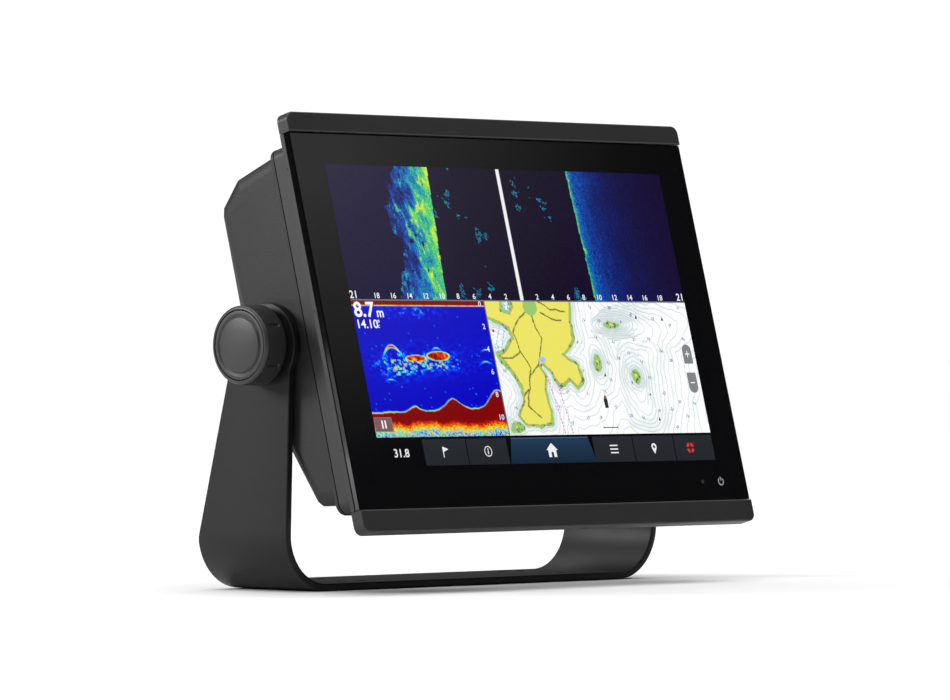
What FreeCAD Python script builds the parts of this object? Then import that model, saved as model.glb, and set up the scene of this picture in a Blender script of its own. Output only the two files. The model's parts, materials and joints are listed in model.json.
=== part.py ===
import FreeCAD, Part
import math
import os

# A chartplotter display that tilts in a bail bracket. Millimetres, +Z up.
# The origin is the centre of the underside of the bracket's base, and the screen faces -Y.
# The display is modelled upright in its own frame: X to the right, Y the depth behind the front of the
# glass, Z up along the glass, with the centre of the lit screen at (0, 0, 0). It is then leaned back.

# Driving dimensions: screen and cover glass
SCREEN_W = 261.1
SCREEN_H = 163.2
GLASS_SIDE = 22.15
GLASS_ABOVE = 17.1
GLASS_BELOW = 22.4
GLASS_T = 3.2
GLASS_CHAMFER = 0.6
TOUCH_T = 0.3
CELL_T = 1.6
CELL_MARGIN = 4.0
BACKLIGHT_T = 7.5
BACKLIGHT_MARGIN = 5.0
SENSOR_SIDE = 36.5
KEY_SIDE = 21.5
KEY_RISE = 10.5
SENSOR_R = 1.6
SENSOR_T = 2.0
KEY_BOARD_W = 11.0
KEY_BOARD_H = 7.0
KEY_BOARD_T = 0.8

# Driving dimensions: gaps that many pieces share
FACE_GAP = 0.1
SCREW_FIT = 0.05
OVERRUN = 1.0

# Driving dimensions: housings and trims
TOTAL_DEPTH = 75.0
FRONT_DEPTH = 26.7
GASKET_T = 0.9
GASKET_W = 5.5
GASKET_INSET = 1.4
FLANGE_T = 2.8
FLANGE_REVEAL = 12.9
BOX_TOP_INSET = 1.2
BOX_BOTTOM_INSET = 3.5
BOX_CORNER = 6.0
WALL = 2.8
SEAM = 0.6
SEAM_INSET = 1.0
LIP_T = 2.0
TRIM_TOP_H = 11.0
TRIM_BOTTOM_H = 12.6
TRIM_CORNER = 4.5
TRIM_PROUD = 1.0
TRIM_GAP = 0.35
TRIM_ROUND = 0.9
TONGUE_T = 1.4
TONGUE_CLEAR = 0.1
TONGUE_SIDE = 3.5
TONGUE_END = 3.5
# flange notches: their heights as shares of the glass's top edge
NOTCH_SHARES = (0.805, 0.03, -0.73)
NOTCH_W = 1.6
NOTCH_DEPTH = 0.7
# chassis pads: their places as shares of the inner half width
PAD_SHARES = (-0.7, -0.3, 0.3, 0.7)
PAD_W = 12.0

# Driving dimensions: the rear housing's side view, measured from the lip, the box or the back
REAR_WALL = 3.4
REAR_BACK_WALL = 5.6
SIDE_BEVEL = 4.0
EDGE_BEVEL = 8.0
REAR_ROUND = 2.5
CREST_ROUND = 1.0
REAR_TOP_DROP = 3.3
REAR_BOTTOM_RISE = 6.2
TOE_RISE = 8.0
SLOPE_TOE = 12.4
SLOPE_FOOT_RISE = 11.4
SLOPE_START = 15.9
SLOPE_TOP = -12.5
BACK_TOP_DROP = 23.5
SHOULDER_DROP = 19.2
SHOULDER_DEPTH = 1.3
CREST_DROP = 7.8
CREST_DEPTH = 15.4
FIN_DEPTH = 2.2
FIN_GROOVE = 5.0
FIN_PITCH = 9.0
FIN_SIDE = 16.0
FIN_FOOT = 7.0
FIN_HEAD = 6.0
FIN_DOOR_GAP = 8.0

# Driving dimensions: pivot, knobs and lean
LEAN_BACK = 15.0
PIVOT_DEPTH = 54.0
PIVOT_DROP = 2.0
PIVOT_FORWARD = 17.1
STUD_R = 3.95
STUD_CLEAR = 0.05
STUD_INSET = 4.0
SHOULDER_R = 7.0
SHOULDER_CLEAR = 0.06
SHOULDER_SHORT = 0.2
INSERT_R = 8.5
INSERT_LONG = 12.0
INSERT_FLANGE = 3.0
INSERT_FLANGE_T = 2.0
BOSS_R = 20.9
BOSS_PROUD = 0.5
BOSS_WALL = 4.0
FRICTION_T = 1.4
FRICTION_R = 19.6
FRICTION_RIM = 0.4
FRICTION_SEAT = 0.15
FRICTION_BORE = 0.2
WASHER_T = 1.6
WASHER_R = 15.0
WASHER_BORE = 0.15
KNOB_R = 21.4
KNOB_FRONT_R = 20.7
KNOB_DEPTH = 13.9
KNOB_STANDOFF = 4.5
SKIRT_EDGE = 0.8
RIM_ROUND = 1.6
RIM_STEPS = 6
HUB_R = 12.5
HEAD_HALF = 6.5
HEAD_INSET = 3.5
HEAD_LONG = 5.5
CAP_R = 18.2
CAP_GAP = 0.4
MOUTH_WIDE = 0.2
MOUTH_DEEP = 0.4
GRIP_NOTCHES = 6
GRIP_NOTCH_R = 0.6
GRIP_NOTCH_LONG = 7.6
GRIP_NOTCH_BACK = 0.6
# the cap's face from its rim to its centre: proud of the grip's face, radius
CAP_FACE = ((-0.1, 17.8), (0.1, 16.4), (0.1, 16.0), (-0.5, 14.9), (0.1, 14.4), (0.6, 12.0), (0.9, 8.0),
            (1.0, 4.0), (1.05, 0.0))
CAP_EDGE = 0.5

# Driving dimensions: bail bracket
STRIP_T = 4.0
BASE_DEPTH = 66.8
BEND_R = 26.0
EYE_R = 22.4
TAPER_START = 26.6
FRONT_LEAN = 0.027
UNDER_ROOM = 26.9
BASE_HOLE_R = 3.0
BASE_HOLES_OUTER = 172.0
BASE_HOLES_INNER = 142.0
BASE_HOLES_Y = 31.0

# Driving dimensions: screws and their posts
SCREW_R = 1.5
SCREW_HOLE_R = 1.6
HEAD_R = 2.8
HEAD_T = 2.4
HOUSING_SCREW_LONG = 14.0
HOUSING_POST_R = 5.2
POST_TOP_IN = 9.5
POST_BOTTOM_IN = 12.5
POST_SHARE = 0.8
POST_HOLE_FLOOR = 2.0
POCKET_R = 3.6
POCKET_FLOOR = 3.0
PLATE_SCREW_LONG = 5.0
PLATE_HEAD_T = 1.6
SMALL_SCREW_R = 1.2
SMALL_SCREW_BITE = 4.0
SMALL_HEAD_R = 2.4
SMALL_HEAD_T = 1.4

# Driving dimensions: chassis, boards and what stands on them
PLATE_T = 1.5
PLATE_CLEAR = 0.3
BOARD_T = 1.6
BOARD_RAISE = 6.0
BOARD_GAP = 5.0
BOARD_EDGE = 16.0
BOARD_HOLE_IN = 6.0
POWER_BOARD_W = 58.0
POST_R = 3.0
RIBBON_W = 30.0
RIBBON_T = 0.3
RIBBON_ROOM = 2.0
RIBBON_RISE = 30.0
# the processor's place as shares of the main board
PROCESSOR_SHARES = (0.42, 0.62)
SHIELD_W = 56.0
SHIELD_H = 46.0
SHIELD_T = 4.0
SHIELD_CORNER = 1.0
PAD_THICK = 1.0
PAD_INSET = 4.0
SPREADER_T = 3.0
SPREADER_GROW = 12.0
SPREADER_CORNER = 4.0
LEG_R = 3.0
LEG_IN = 5.0
BUZZER_R = 6.0
BUZZER_T = 5.5
BUZZER_IN = 22.0
BUZZER_RISE = 30.0
COIL_R = 12.0
COIL_HOLE_R = 5.0
COIL_T = 9.0
COIL_SHARE = 0.75
ANTENNA_W = 36.0
ANTENNA_H = 8.0
ANTENNA_T = 24.0
ANTENNA_DROP = 5.0
SONAR_W = 120.0
SONAR_H = 62.0
SONAR_BACK = 8.0
SONAR_SHARE = -0.25
SONAR_POST_IN = 6.0
TRANSFORMER_W = 26.0
TRANSFORMER_H = 24.0
TRANSFORMER_T = 16.0
TRANSFORMER_OUT = 30.0
TRANSFORMER_CORNER = 2.0

# Driving dimensions: card bay, its door and the vent
DOOR_W = 38.0
DOOR_H = 26.0
DOOR_T = 2.2
DOOR_IN = 9.0
DOOR_CLEAR = 0.3
DOOR_PIN_R = 0.75
DOOR_LEDGE = 4.4
PIN_CLEAR = 0.05
PIN_END = 2.0
HINGE_IN = 2.0
HINGE_SINK = 0.2
FINGER_R = 5.0
FINGER_OUT = 2.5
FINGER_FLOOR = 0.8
SEAL_T = 1.4
SEAL_NEAR = 1.6
SEAL_LEDGE_GAP = 0.4
BAY_FLOOR = 11.0
TUB_DEPTH = 15.0
TUB_WALL = 3.0
TUB_FIT = 0.1
READER_W = 25.0
READER_H = 11.0
READER_T = 6.0
CARD_W = 11.6
CARD_SLOT_T = 1.1
CARD_SLOT_DEEP = 4.0
CARD_SLOTS = (-3.0, 2.0)
VENT_R = 6.0
VENT_RISE = 14.0
VENT_FIT = 0.05
VENT_RIM = 1.5
VENT_CAP_T = 1.2
VENT_DISH_R = 2.0
VENT_DISH_FLOOR = 0.4

# Driving dimensions: sockets
SOCKET_PROUD = 8.0
SOCKET_FLANGE = 3.0
SOCKET_FLANGE_T = 2.0
SOCKET_BARREL = 9.0
SOCKET_SEAL_T = 0.8
SOCKET_SEAL_W = 2.4
SOCKET_FIT = 0.1
COLLAR_WALL = 1.6
INSERT_GAP = 0.9
INSERT_BELOW = 1.0
CONTACT_R = 0.5
CONTACT_FLOOR = 2.0
NUT_GROW = 3.5
NUT_T = 3.0
# name, outer radius of the threaded collar, place across the housing, contact holes, circle they stand on
SOCKETS = (
    ("power_socket", 9.0, -101.0, 4, 3.6),
    ("data_bus_socket", 6.0, -66.0, 5, 2.2),
    ("network_socket_left", 7.5, -35.0, 8, 3.2),
    ("network_socket_right", 7.5, -3.0, 8, 3.2),
    ("transducer_socket", 10.5, 36.0, 12, 5.6),
)

# Worked out from the driving dimensions
GLASS_X = SCREEN_W / 2 + GLASS_SIDE
GLASS_TOP = SCREEN_H / 2 + GLASS_ABOVE
GLASS_BOTTOM = -SCREEN_H / 2 - GLASS_BELOW
FLANGE_FRONT = GLASS_T + GASKET_T
FLANGE_BACK = FLANGE_FRONT + FLANGE_T
TONGUE_BACK = FLANGE_FRONT + TONGUE_T
BOX_X = GLASS_X - FLANGE_REVEAL
BOX_TOP = GLASS_TOP - BOX_TOP_INSET
BOX_BOTTOM = GLASS_BOTTOM + BOX_BOTTOM_INSET
IN_X = BOX_X - WALL
IN_TOP = BOX_TOP - WALL
IN_BOTTOM = BOX_BOTTOM + WALL
IN_CORNER = BOX_CORNER - WALL
TRIM_TOP = GLASS_TOP + TRIM_TOP_H
TRIM_BOTTOM = GLASS_BOTTOM - TRIM_BOTTOM_H
LIP_FRONT = FRONT_DEPTH + SEAM
LIP_BACK = LIP_FRONT + LIP_T
CELL_FRONT = GLASS_T + TOUCH_T
BACKLIGHT_FRONT = CELL_FRONT + CELL_T
PLATE_FRONT = BACKLIGHT_FRONT + BACKLIGHT_T
PLATE_BACK = PLATE_FRONT + PLATE_T
BOARD_FRONT = PLATE_BACK + BOARD_RAISE
BOARD_BACK = BOARD_FRONT + BOARD_T
BEVEL_X = BOX_X - SIDE_BEVEL
BACK_INNER = TOTAL_DEPTH - REAR_BACK_WALL
SONAR_FACE = BACK_INNER - SONAR_BACK
POST_XS = (-POST_SHARE * BOX_X, 0.0, POST_SHARE * BOX_X)
POST_ZS = (BOX_TOP - POST_TOP_IN, BOX_BOTTOM + POST_BOTTOM_IN)
POST_PLACES = [(x, z) for x in POST_XS for z in POST_ZS]
BOSS_X = BOX_X + BOSS_PROUD
INSERT_BACK_X = BEVEL_X - INSERT_LONG
FRICTION_X = BOSS_X + BOSS_PROUD
FRICTION_FLOOR_X = FRICTION_X - FRICTION_T
ARM_IN = FRICTION_X + FACE_GAP
ARM_OUT = ARM_IN + STRIP_T
HUB_X = ARM_OUT + FACE_GAP + WASHER_T + FACE_GAP
KNOB_BACK_X = ARM_OUT + KNOB_STANDOFF
KNOB_FRONT_X = KNOB_BACK_X + KNOB_DEPTH
HEAD_BACK_X = KNOB_BACK_X + HEAD_INSET
CAP_BACK_X = HEAD_BACK_X + HEAD_LONG
SOCKET_BASE = SOCKET_SEAL_T + SOCKET_FLANGE_T
LEAN = math.radians(LEAN_BACK)
LOWEST_DEPTH = FLANGE_BACK - PIVOT_DEPTH
LOWEST_RISE = TRIM_BOTTOM + PIVOT_DROP
DISPLAY_DROP = LOWEST_DEPTH * math.sin(LEAN) - LOWEST_RISE * math.cos(LEAN)
PIVOT_Z = STRIP_T + UNDER_ROOM + DISPLAY_DROP
PIVOT_Y = -PIVOT_FORWARD

V = FreeCAD.Vector
X_AXIS = V(1, 0, 0)
Y_AXIS = V(0, 1, 0)
Z_AXIS = V(0, 0, 1)


# ---------------------------------------------------------------- shape helpers

def block(x0, x1, y0, y1, z0, z1):
    """A box between two corners."""
    return Part.makeBox(x1 - x0, y1 - y0, z1 - z0, V(x0, y0, z0))


def rod(radius, start, axis, length):
    """A cylinder from a point along an axis."""
    return Part.makeCylinder(radius, length, start, axis)


def ring(outer, inner, start, axis, length):
    """A tube from a point along an axis."""
    return rod(outer, start, axis, length).cut(rod(inner, start, axis, length))


def rounded_wire(corners, radii, to_space):
    """A closed outline of straight runs, with a tangent arc at each corner whose radius is not 0."""
    count = len(corners)
    starts, ends, arcs = [], [], []
    for i in range(count):
        here = V(corners[i][0], corners[i][1], 0)
        back = (V(corners[i - 1][0], corners[i - 1][1], 0) - here).normalize()
        ahead = V(corners[(i + 1) % count][0], corners[(i + 1) % count][1], 0) - here
        ahead.normalize()
        if radii[i] == 0:
            starts.append(here)
            ends.append(here)
            arcs.append(None)
            continue
        half = back.getAngle(ahead) / 2
        inward = (back + ahead).normalize()
        starts.append(here + back * (radii[i] / math.tan(half)))
        ends.append(here + ahead * (radii[i] / math.tan(half)))
        arcs.append(here + inward * (radii[i] / math.sin(half) - radii[i]))
    edges = []
    for i in range(count):
        if arcs[i] is not None:
            curve = Part.Arc(to_space(starts[i]), to_space(arcs[i]), to_space(ends[i]))
            edges.append(curve.toShape())
        following = starts[(i + 1) % count]
        edges.append(Part.LineSegment(to_space(ends[i]), to_space(following)).toShape())
    return Part.Wire(edges)


def plate(x0, x1, z0, z1, y0, y1, radii=(0, 0, 0, 0)):
    """A plate facing Y. The corner radii go: lower left, lower right, upper right, upper left."""
    wire = rounded_wire(((x0, z0), (x1, z0), (x1, z1), (x0, z1)), radii, lambda p: V(p.x, y0, p.y))
    return Part.Face(wire).extrude(V(0, y1 - y0, 0))


def turned(profile):
    """A solid of revolution about the X axis, from a closed outline of (x, radius) points."""
    points = [V(x, r, 0) for x, r in profile]
    face = Part.Face(Part.makePolygon(points + [points[0]]))
    return face.revolve(V(0, 0, 0), X_AXIS, 360)


def joined(first, *others):
    """Several touching shapes as one solid."""
    return first.fuse(list(others)).removeSplitter()


def both_sides(shape):
    """The right-hand shape and its mirror image on the left."""
    return shape, shape.mirror(V(0, 0, 0), X_AXIS)


def edges_where(shape, test):
    """The edges of a shape whose centre of mass passes the test."""
    return [edge for edge in shape.Edges if test(edge.CenterOfMass)]


def leaned(shape):
    """Moves a shape from the display's own frame to its place in the bracket."""
    moved = shape.copy()
    moved.translate(V(0, -PIVOT_DEPTH, PIVOT_DROP))
    moved.rotate(V(0, 0, 0), X_AXIS, -LEAN_BACK)
    moved.translate(V(0, PIVOT_Y, PIVOT_Z))
    return moved


def write(name, *solids):
    """Writes one node's solids to its STEP file."""
    shape = solids[0] if len(solids) == 1 else Part.makeCompound(list(solids))
    shape.exportStep("parts/" + name + ".step")


def write_display(name, *solids):
    """Writes a node that was modelled in the display's own frame."""
    write(name, *[leaned(solid) for solid in solids])


# ---------------------------------------------------------------- bail bracket

def bail_bracket():
    """One bent strip: a flat base and two arms that taper up to round eyes."""
    half_base = BASE_DEPTH / 2
    outer_bend = BEND_R + STRIP_T
    top = PIVOT_Z + EYE_R
    outside = rounded_wire(((-ARM_OUT, 0), (ARM_OUT, 0), (ARM_OUT, top), (-ARM_OUT, top)),
                           (outer_bend, outer_bend, 0, 0), lambda p: V(p.x, -BASE_DEPTH, p.y))
    mouth = top + OVERRUN
    inside = rounded_wire(((-ARM_IN, STRIP_T), (ARM_IN, STRIP_T), (ARM_IN, mouth), (-ARM_IN, mouth)),
                          (BEND_R, BEND_R, 0, 0), lambda p: V(p.x, -BASE_DEPTH, p.y))
    depth = V(0, 2 * BASE_DEPTH, 0)
    strip = Part.Face(outside).extrude(depth).cut(Part.Face(inside).extrude(depth))

    # the side view: a full-depth base, a steep front edge and a back edge that leans to the eye
    run_y = PIVOT_Y - half_base
    run_z = PIVOT_Z - TAPER_START
    reach = math.hypot(run_y, run_z)
    turn = math.atan2(-run_y, run_z) - math.asin(EYE_R / reach)
    tangent = math.sqrt(reach ** 2 - EYE_R ** 2)
    back_y = half_base - tangent * math.sin(turn)
    back_z = TAPER_START + tangent * math.cos(turn)
    front_y = -half_base - FRONT_LEAN * run_z
    side = Part.makePolygon([V(-ARM_OUT, y, z) for y, z in (
        (-half_base, 0), (half_base, 0), (half_base, TAPER_START), (back_y, back_z),
        (PIVOT_Y, PIVOT_Z), (front_y, PIVOT_Z), (-half_base, TAPER_START), (-half_base, 0))])
    envelope = Part.Face(side).extrude(V(2 * ARM_OUT, 0, 0))
    eye = rod(EYE_R, V(-ARM_OUT, PIVOT_Y, PIVOT_Z), X_AXIS, 2 * ARM_OUT)
    bracket = strip.common(joined(envelope, eye))

    bore = rod(SHOULDER_R + SHOULDER_CLEAR, V(-ARM_OUT, PIVOT_Y, PIVOT_Z), X_AXIS, 2 * ARM_OUT)
    bracket = bracket.cut(bore)
    for pitch in (BASE_HOLES_OUTER, BASE_HOLES_INNER):
        for x in (-pitch / 2, pitch / 2):
            for y in (-BASE_HOLES_Y / 2, BASE_HOLES_Y / 2):
                bracket = bracket.cut(rod(BASE_HOLE_R, V(x, y, 0), Z_AXIS, STRIP_T))
    return bracket


# ---------------------------------------------------------------- glass and trims

def front_glass():
    """The cover glass, with a polished chamfer round its front edge."""
    glass = plate(-GLASS_X, GLASS_X, GLASS_BOTTOM, GLASS_TOP, 0, GLASS_T)
    return glass.makeChamfer(GLASS_CHAMFER, edges_where(glass, lambda c: c.y < GLASS_CHAMFER))


def glass_gasket():
    """The seal between the glass and the flange, set in from the edge so that it shows as a dark recess."""
    outer_x = GLASS_X - GASKET_INSET
    bottom = GLASS_BOTTOM + GASKET_INSET
    top = GLASS_TOP - GASKET_INSET
    outer = plate(-outer_x, outer_x, bottom, top, GLASS_T, FLANGE_FRONT)
    inner = plate(-outer_x + GASKET_W, outer_x - GASKET_W, bottom + GASKET_W, top - GASKET_W,
                  GLASS_T, FLANGE_FRONT)
    return outer.cut(inner)


def trim(top):
    """A snap-on strip above or below the glass, hollow where the flange's tongue enters it."""
    clear = TONGUE_CLEAR
    tongue_x = GLASS_X - TONGUE_SIDE + clear
    if top:
        low, high = GLASS_TOP + TRIM_GAP, TRIM_TOP
        radii = (0, 0, TRIM_CORNER, TRIM_CORNER)
        slot = block(-tongue_x, tongue_x, FLANGE_FRONT - clear, TONGUE_BACK + clear,
                     low - OVERRUN, high - TONGUE_END + clear)
    else:
        low, high = TRIM_BOTTOM, GLASS_BOTTOM - TRIM_GAP
        radii = (TRIM_CORNER, TRIM_CORNER, 0, 0)
        slot = block(-tongue_x, tongue_x, FLANGE_FRONT - clear, TONGUE_BACK + clear,
                     low + TONGUE_END - clear, high + OVERRUN)
    strip = plate(-GLASS_X, GLASS_X, low, high, -TRIM_PROUD, FLANGE_BACK, radii)
    face_edges = edges_where(strip, lambda c: c.y < TRIM_ROUND - TRIM_PROUD)
    return strip.makeFillet(TRIM_ROUND, face_edges).cut(slot)


# ---------------------------------------------------------------- front housing

def pad_places():
    """The x of each chassis pad, spread along the width of the housing."""
    return [share * IN_X for share in PAD_SHARES]


def front_housing():
    """The flange that carries the glass, and the box behind it."""
    corners = (BOX_CORNER,) * 4
    inner_corners = (IN_CORNER,) * 4
    flange = plate(-GLASS_X, GLASS_X, GLASS_BOTTOM, GLASS_TOP, FLANGE_FRONT, FLANGE_BACK)
    box = plate(-BOX_X, BOX_X, BOX_BOTTOM, BOX_TOP, FLANGE_FRONT, FRONT_DEPTH, corners)
    hollow = plate(-IN_X, IN_X, IN_BOTTOM, IN_TOP, 0, FRONT_DEPTH, inner_corners)
    tongue_x = GLASS_X - TONGUE_SIDE
    upper_tongue = block(-tongue_x, tongue_x, FLANGE_FRONT, TONGUE_BACK,
                         GLASS_TOP, TRIM_TOP - TONGUE_END)
    lower_tongue = block(-tongue_x, tongue_x, FLANGE_FRONT, TONGUE_BACK,
                         TRIM_BOTTOM + TONGUE_END, GLASS_BOTTOM)
    housing = joined(flange, box, upper_tongue, lower_tongue).cut(hollow)

    backlight_z = SCREEN_H / 2 + BACKLIGHT_MARGIN + PLATE_CLEAR
    for x in pad_places():
        upper = block(x - PAD_W / 2, x + PAD_W / 2, FLANGE_FRONT, PLATE_FRONT, backlight_z, IN_TOP)
        lower = block(x - PAD_W / 2, x + PAD_W / 2, FLANGE_FRONT, PLATE_FRONT, IN_BOTTOM, -backlight_z)
        housing = joined(housing, upper, lower)
        for z in chassis_screw_zs():
            start = V(x, PLATE_FRONT - PLATE_SCREW_LONG, z)
            housing = housing.cut(rod(SCREW_R, start, Y_AXIS, PLATE_SCREW_LONG))
    post_front = PLATE_BACK + PLATE_CLEAR
    for x, z in POST_PLACES:
        wall_z = IN_TOP if z > 0 else IN_BOTTOM
        post = rod(HOUSING_POST_R, V(x, post_front, z), Y_AXIS, FRONT_DEPTH - post_front)
        web = block(x - SCREW_R, x + SCREW_R, post_front, FRONT_DEPTH, min(z, wall_z), max(z, wall_z))
        housing = joined(housing, post, web)
        hole = rod(SCREW_HOLE_R, V(x, PLATE_BACK + POST_HOLE_FLOOR, z), Y_AXIS, FRONT_DEPTH)
        housing = housing.cut(hole)
    for share in NOTCH_SHARES:
        z = share * GLASS_TOP
        for x in (-GLASS_X, GLASS_X - NOTCH_DEPTH):
            notch = block(x, x + NOTCH_DEPTH, FLANGE_BACK - NOTCH_W, FLANGE_BACK,
                          z - NOTCH_W / 2, z + NOTCH_W / 2)
            housing = housing.cut(notch)
    return housing


def chassis_screw_zs():
    """The heights of the two rows of chassis screws, in the middle of their pads."""
    backlight_z = SCREEN_H / 2 + BACKLIGHT_MARGIN + PLATE_CLEAR
    return ((IN_TOP + backlight_z) / 2, (IN_BOTTOM - backlight_z) / 2)


# ---------------------------------------------------------------- rear housing

def rear_corners():
    """The side view of the rear housing as (depth, height) corners, anticlockwise from the lower lip."""
    return [
        (LIP_BACK, BOX_BOTTOM + REAR_BOTTOM_RISE),
        (LIP_BACK + SLOPE_TOE, BOX_BOTTOM + TOE_RISE),
        (LIP_BACK + SLOPE_START, BOX_BOTTOM + SLOPE_FOOT_RISE),
        (TOTAL_DEPTH, SLOPE_TOP),
        (TOTAL_DEPTH, BOX_TOP - BACK_TOP_DROP),
        (TOTAL_DEPTH - SHOULDER_DEPTH, BOX_TOP - SHOULDER_DROP),
        (TOTAL_DEPTH - CREST_DEPTH, BOX_TOP - CREST_DROP),
        (LIP_BACK, BOX_TOP - REAR_TOP_DROP),
    ]


def inset(corners, amounts):
    """An outline whose sides are each moved inwards by their own amount. Side i starts at corner i."""
    count = len(corners)
    moved = []
    for i in range(count):
        ax, ay = corners[i]
        bx, by = corners[(i + 1) % count]
        length = math.hypot(bx - ax, by - ay)
        nx, ny = -(by - ay) / length, (bx - ax) / length
        moved.append((ax + nx * amounts[i], ay + ny * amounts[i], bx - ax, by - ay))
    result = []
    for i in range(count):
        px, py, pdx, pdy = moved[i - 1]
        qx, qy, qdx, qdy = moved[i]
        share = ((qx - px) * qdy - (qy - py) * qdx) / (pdx * qdy - pdy * qdx)
        result.append((px + pdx * share, py + pdy * share))
    return result


def side_outline(corners, x, radius):
    """A side view outline at one x, with its outer corners rounded."""
    radii = [0] + [radius] * (len(corners) - 2) + [0]
    radii[4:6] = [min(radius, CREST_ROUND)] * 2
    return rounded_wire(corners, radii, lambda p: V(x, p.x, p.y))


def slope_angle():
    """How far the slanted lower face leans from upright, in degrees."""
    foot, head = rear_corners()[2:4]
    return math.degrees(math.atan2(head[0] - foot[0], head[1] - foot[1]))


def on_slope(shape, x):
    """Places a shape, modelled with +Z outwards from the origin, at the middle of the slanted face."""
    foot, head = rear_corners()[2:4]
    moved = shape.copy()
    moved.rotate(V(0, 0, 0), X_AXIS, -90 - slope_angle())
    moved.translate(V(x, (foot[0] + head[0]) / 2, (foot[1] + head[1]) / 2))
    return moved


def door_box():
    """The card door's recess on the back: x and z limits."""
    right = BEVEL_X - DOOR_IN
    top = BOX_TOP - BACK_TOP_DROP - DOOR_IN
    return right - DOOR_W, right, top - DOOR_H, top


def rear_housing():
    """The cast back: lip, bevelled shell, pivot bosses, finned back and the sockets' holes."""
    outer = rear_corners()
    sides = [EDGE_BEVEL] * (len(outer) - 1) + [0]
    bevelled = inset(outer, sides)
    core = Part.Face(side_outline(outer, -BEVEL_X, REAR_ROUND)).extrude(V(2 * BEVEL_X, 0, 0))
    shell = core
    for sign in (-1, 1):
        cheek = Part.makeLoft([side_outline(outer, sign * BEVEL_X, REAR_ROUND),
                               side_outline(bevelled, sign * BOX_X, REAR_ROUND)], True, True)
        shell = shell.fuse(cheek)
    boss = rod(BOSS_R, V(-BOSS_X, PIVOT_DEPTH, -PIVOT_DROP), X_AXIS, 2 * BOSS_X)
    lip = plate(-BOX_X, BOX_X, BOX_BOTTOM, BOX_TOP, LIP_FRONT, LIP_BACK, (BOX_CORNER,) * 4)
    solid = joined(shell, boss, lip)

    walls = [REAR_WALL] * len(outer)
    walls[3] = REAR_BACK_WALL
    walls[-1] = 0
    cavity_x = BEVEL_X - REAR_WALL / 2
    cavity = Part.Face(side_outline(inset(outer, walls), -cavity_x, REAR_ROUND))
    cavity = cavity.extrude(V(2 * cavity_x, 0, 0))
    mouth = plate(-cavity_x, cavity_x, IN_BOTTOM + REAR_BOTTOM_RISE, IN_TOP - REAR_TOP_DROP,
                  LIP_FRONT, LIP_BACK + OVERRUN)
    collar = rod(INSERT_R + BOSS_WALL, V(-BEVEL_X, PIVOT_DEPTH, -PIVOT_DROP), X_AXIS, 2 * BEVEL_X)
    between = block(-INSERT_BACK_X, INSERT_BACK_X, 0, 2 * TOTAL_DEPTH, -BOSS_R, BOSS_R)
    posts = [rod(HOUSING_POST_R, V(x, LIP_FRONT, z), Y_AXIS, TOTAL_DEPTH) for x, z in POST_PLACES]
    seats = [rod(HOUSING_POST_R, V(x, LIP_FRONT, z), Y_AXIS, LIP_T) for x, z in POST_PLACES]
    inner_posts = core.common(posts[0].fuse(posts[1:]))
    housing = solid.cut(cavity.fuse(mouth)).fuse([collar.cut(between), inner_posts] + seats)
    for cut in rear_cuts():
        housing = housing.cut(cut)
    return housing.removeSplitter()


def rear_cuts():
    """What is taken out of the rear housing: screws, pivots, fins, door recess, sockets and vent."""
    cuts = []
    for x, z in POST_PLACES:
        cuts.append(rod(SCREW_HOLE_R, V(x, LIP_FRONT - OVERRUN, z), Y_AXIS, TOTAL_DEPTH))
        cuts.append(rod(POCKET_R, V(x, LIP_BACK + POCKET_FLOOR, z), Y_AXIS, TOTAL_DEPTH))
    cuts.append(rod(INSERT_R, V(-BOSS_X, PIVOT_DEPTH, -PIVOT_DROP), X_AXIS, 2 * BOSS_X))
    for sign in (-1, 1):
        floor = V(sign * FRICTION_FLOOR_X, PIVOT_DEPTH, -PIVOT_DROP)
        cuts.append(rod(FRICTION_R + FRICTION_SEAT, floor, X_AXIS * sign, FRICTION_T))
    cuts += fin_grooves()
    cuts += door_cuts()
    for _, radius, x, _, _ in SOCKETS:
        hole = rod(radius + SOCKET_FIT, V(0, 0, -SOCKET_BARREL), Z_AXIS, 2 * SOCKET_BARREL)
        cuts.append(on_slope(hole, x))
    vent = vent_place()
    cuts.append(rod(VENT_R, V(vent.x, BACK_INNER - OVERRUN, vent.z), Y_AXIS, TOTAL_DEPTH))
    return cuts


def fin_grooves():
    """Upright grooves that leave cooling fins flush with the back."""
    x0, _, _, _ = door_box()
    low = SLOPE_TOP + FIN_FOOT
    high = BOX_TOP - BACK_TOP_DROP - FIN_HEAD
    first = -BEVEL_X + FIN_SIDE
    last = x0 - FIN_DOOR_GAP
    count = int((last - first - FIN_GROOVE) / FIN_PITCH) + 1
    grooves = []
    for i in range(count):
        x = first + i * FIN_PITCH
        grooves.append(block(x, x + FIN_GROOVE, TOTAL_DEPTH - FIN_DEPTH, TOTAL_DEPTH + OVERRUN, low, high))
    return grooves


def vent_place():
    """The centre of the vent on the back, below the card door."""
    x0, x1, z0, _ = door_box()
    return V((x0 + x1) / 2, TOTAL_DEPTH, z0 - VENT_RISE)


def vent_plug():
    """The pressure vent: a stem through the back wall and a dished cap."""
    vent = vent_place()
    stem = rod(VENT_R - VENT_FIT, vent - Y_AXIS * REAR_BACK_WALL, Y_AXIS, REAR_BACK_WALL)
    cap = rod(VENT_R + VENT_RIM, vent, Y_AXIS, VENT_CAP_T)
    dish = rod(VENT_DISH_R, vent + Y_AXIS * VENT_DISH_FLOOR, Y_AXIS, VENT_CAP_T)
    return joined(stem, cap.cut(dish))


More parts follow.
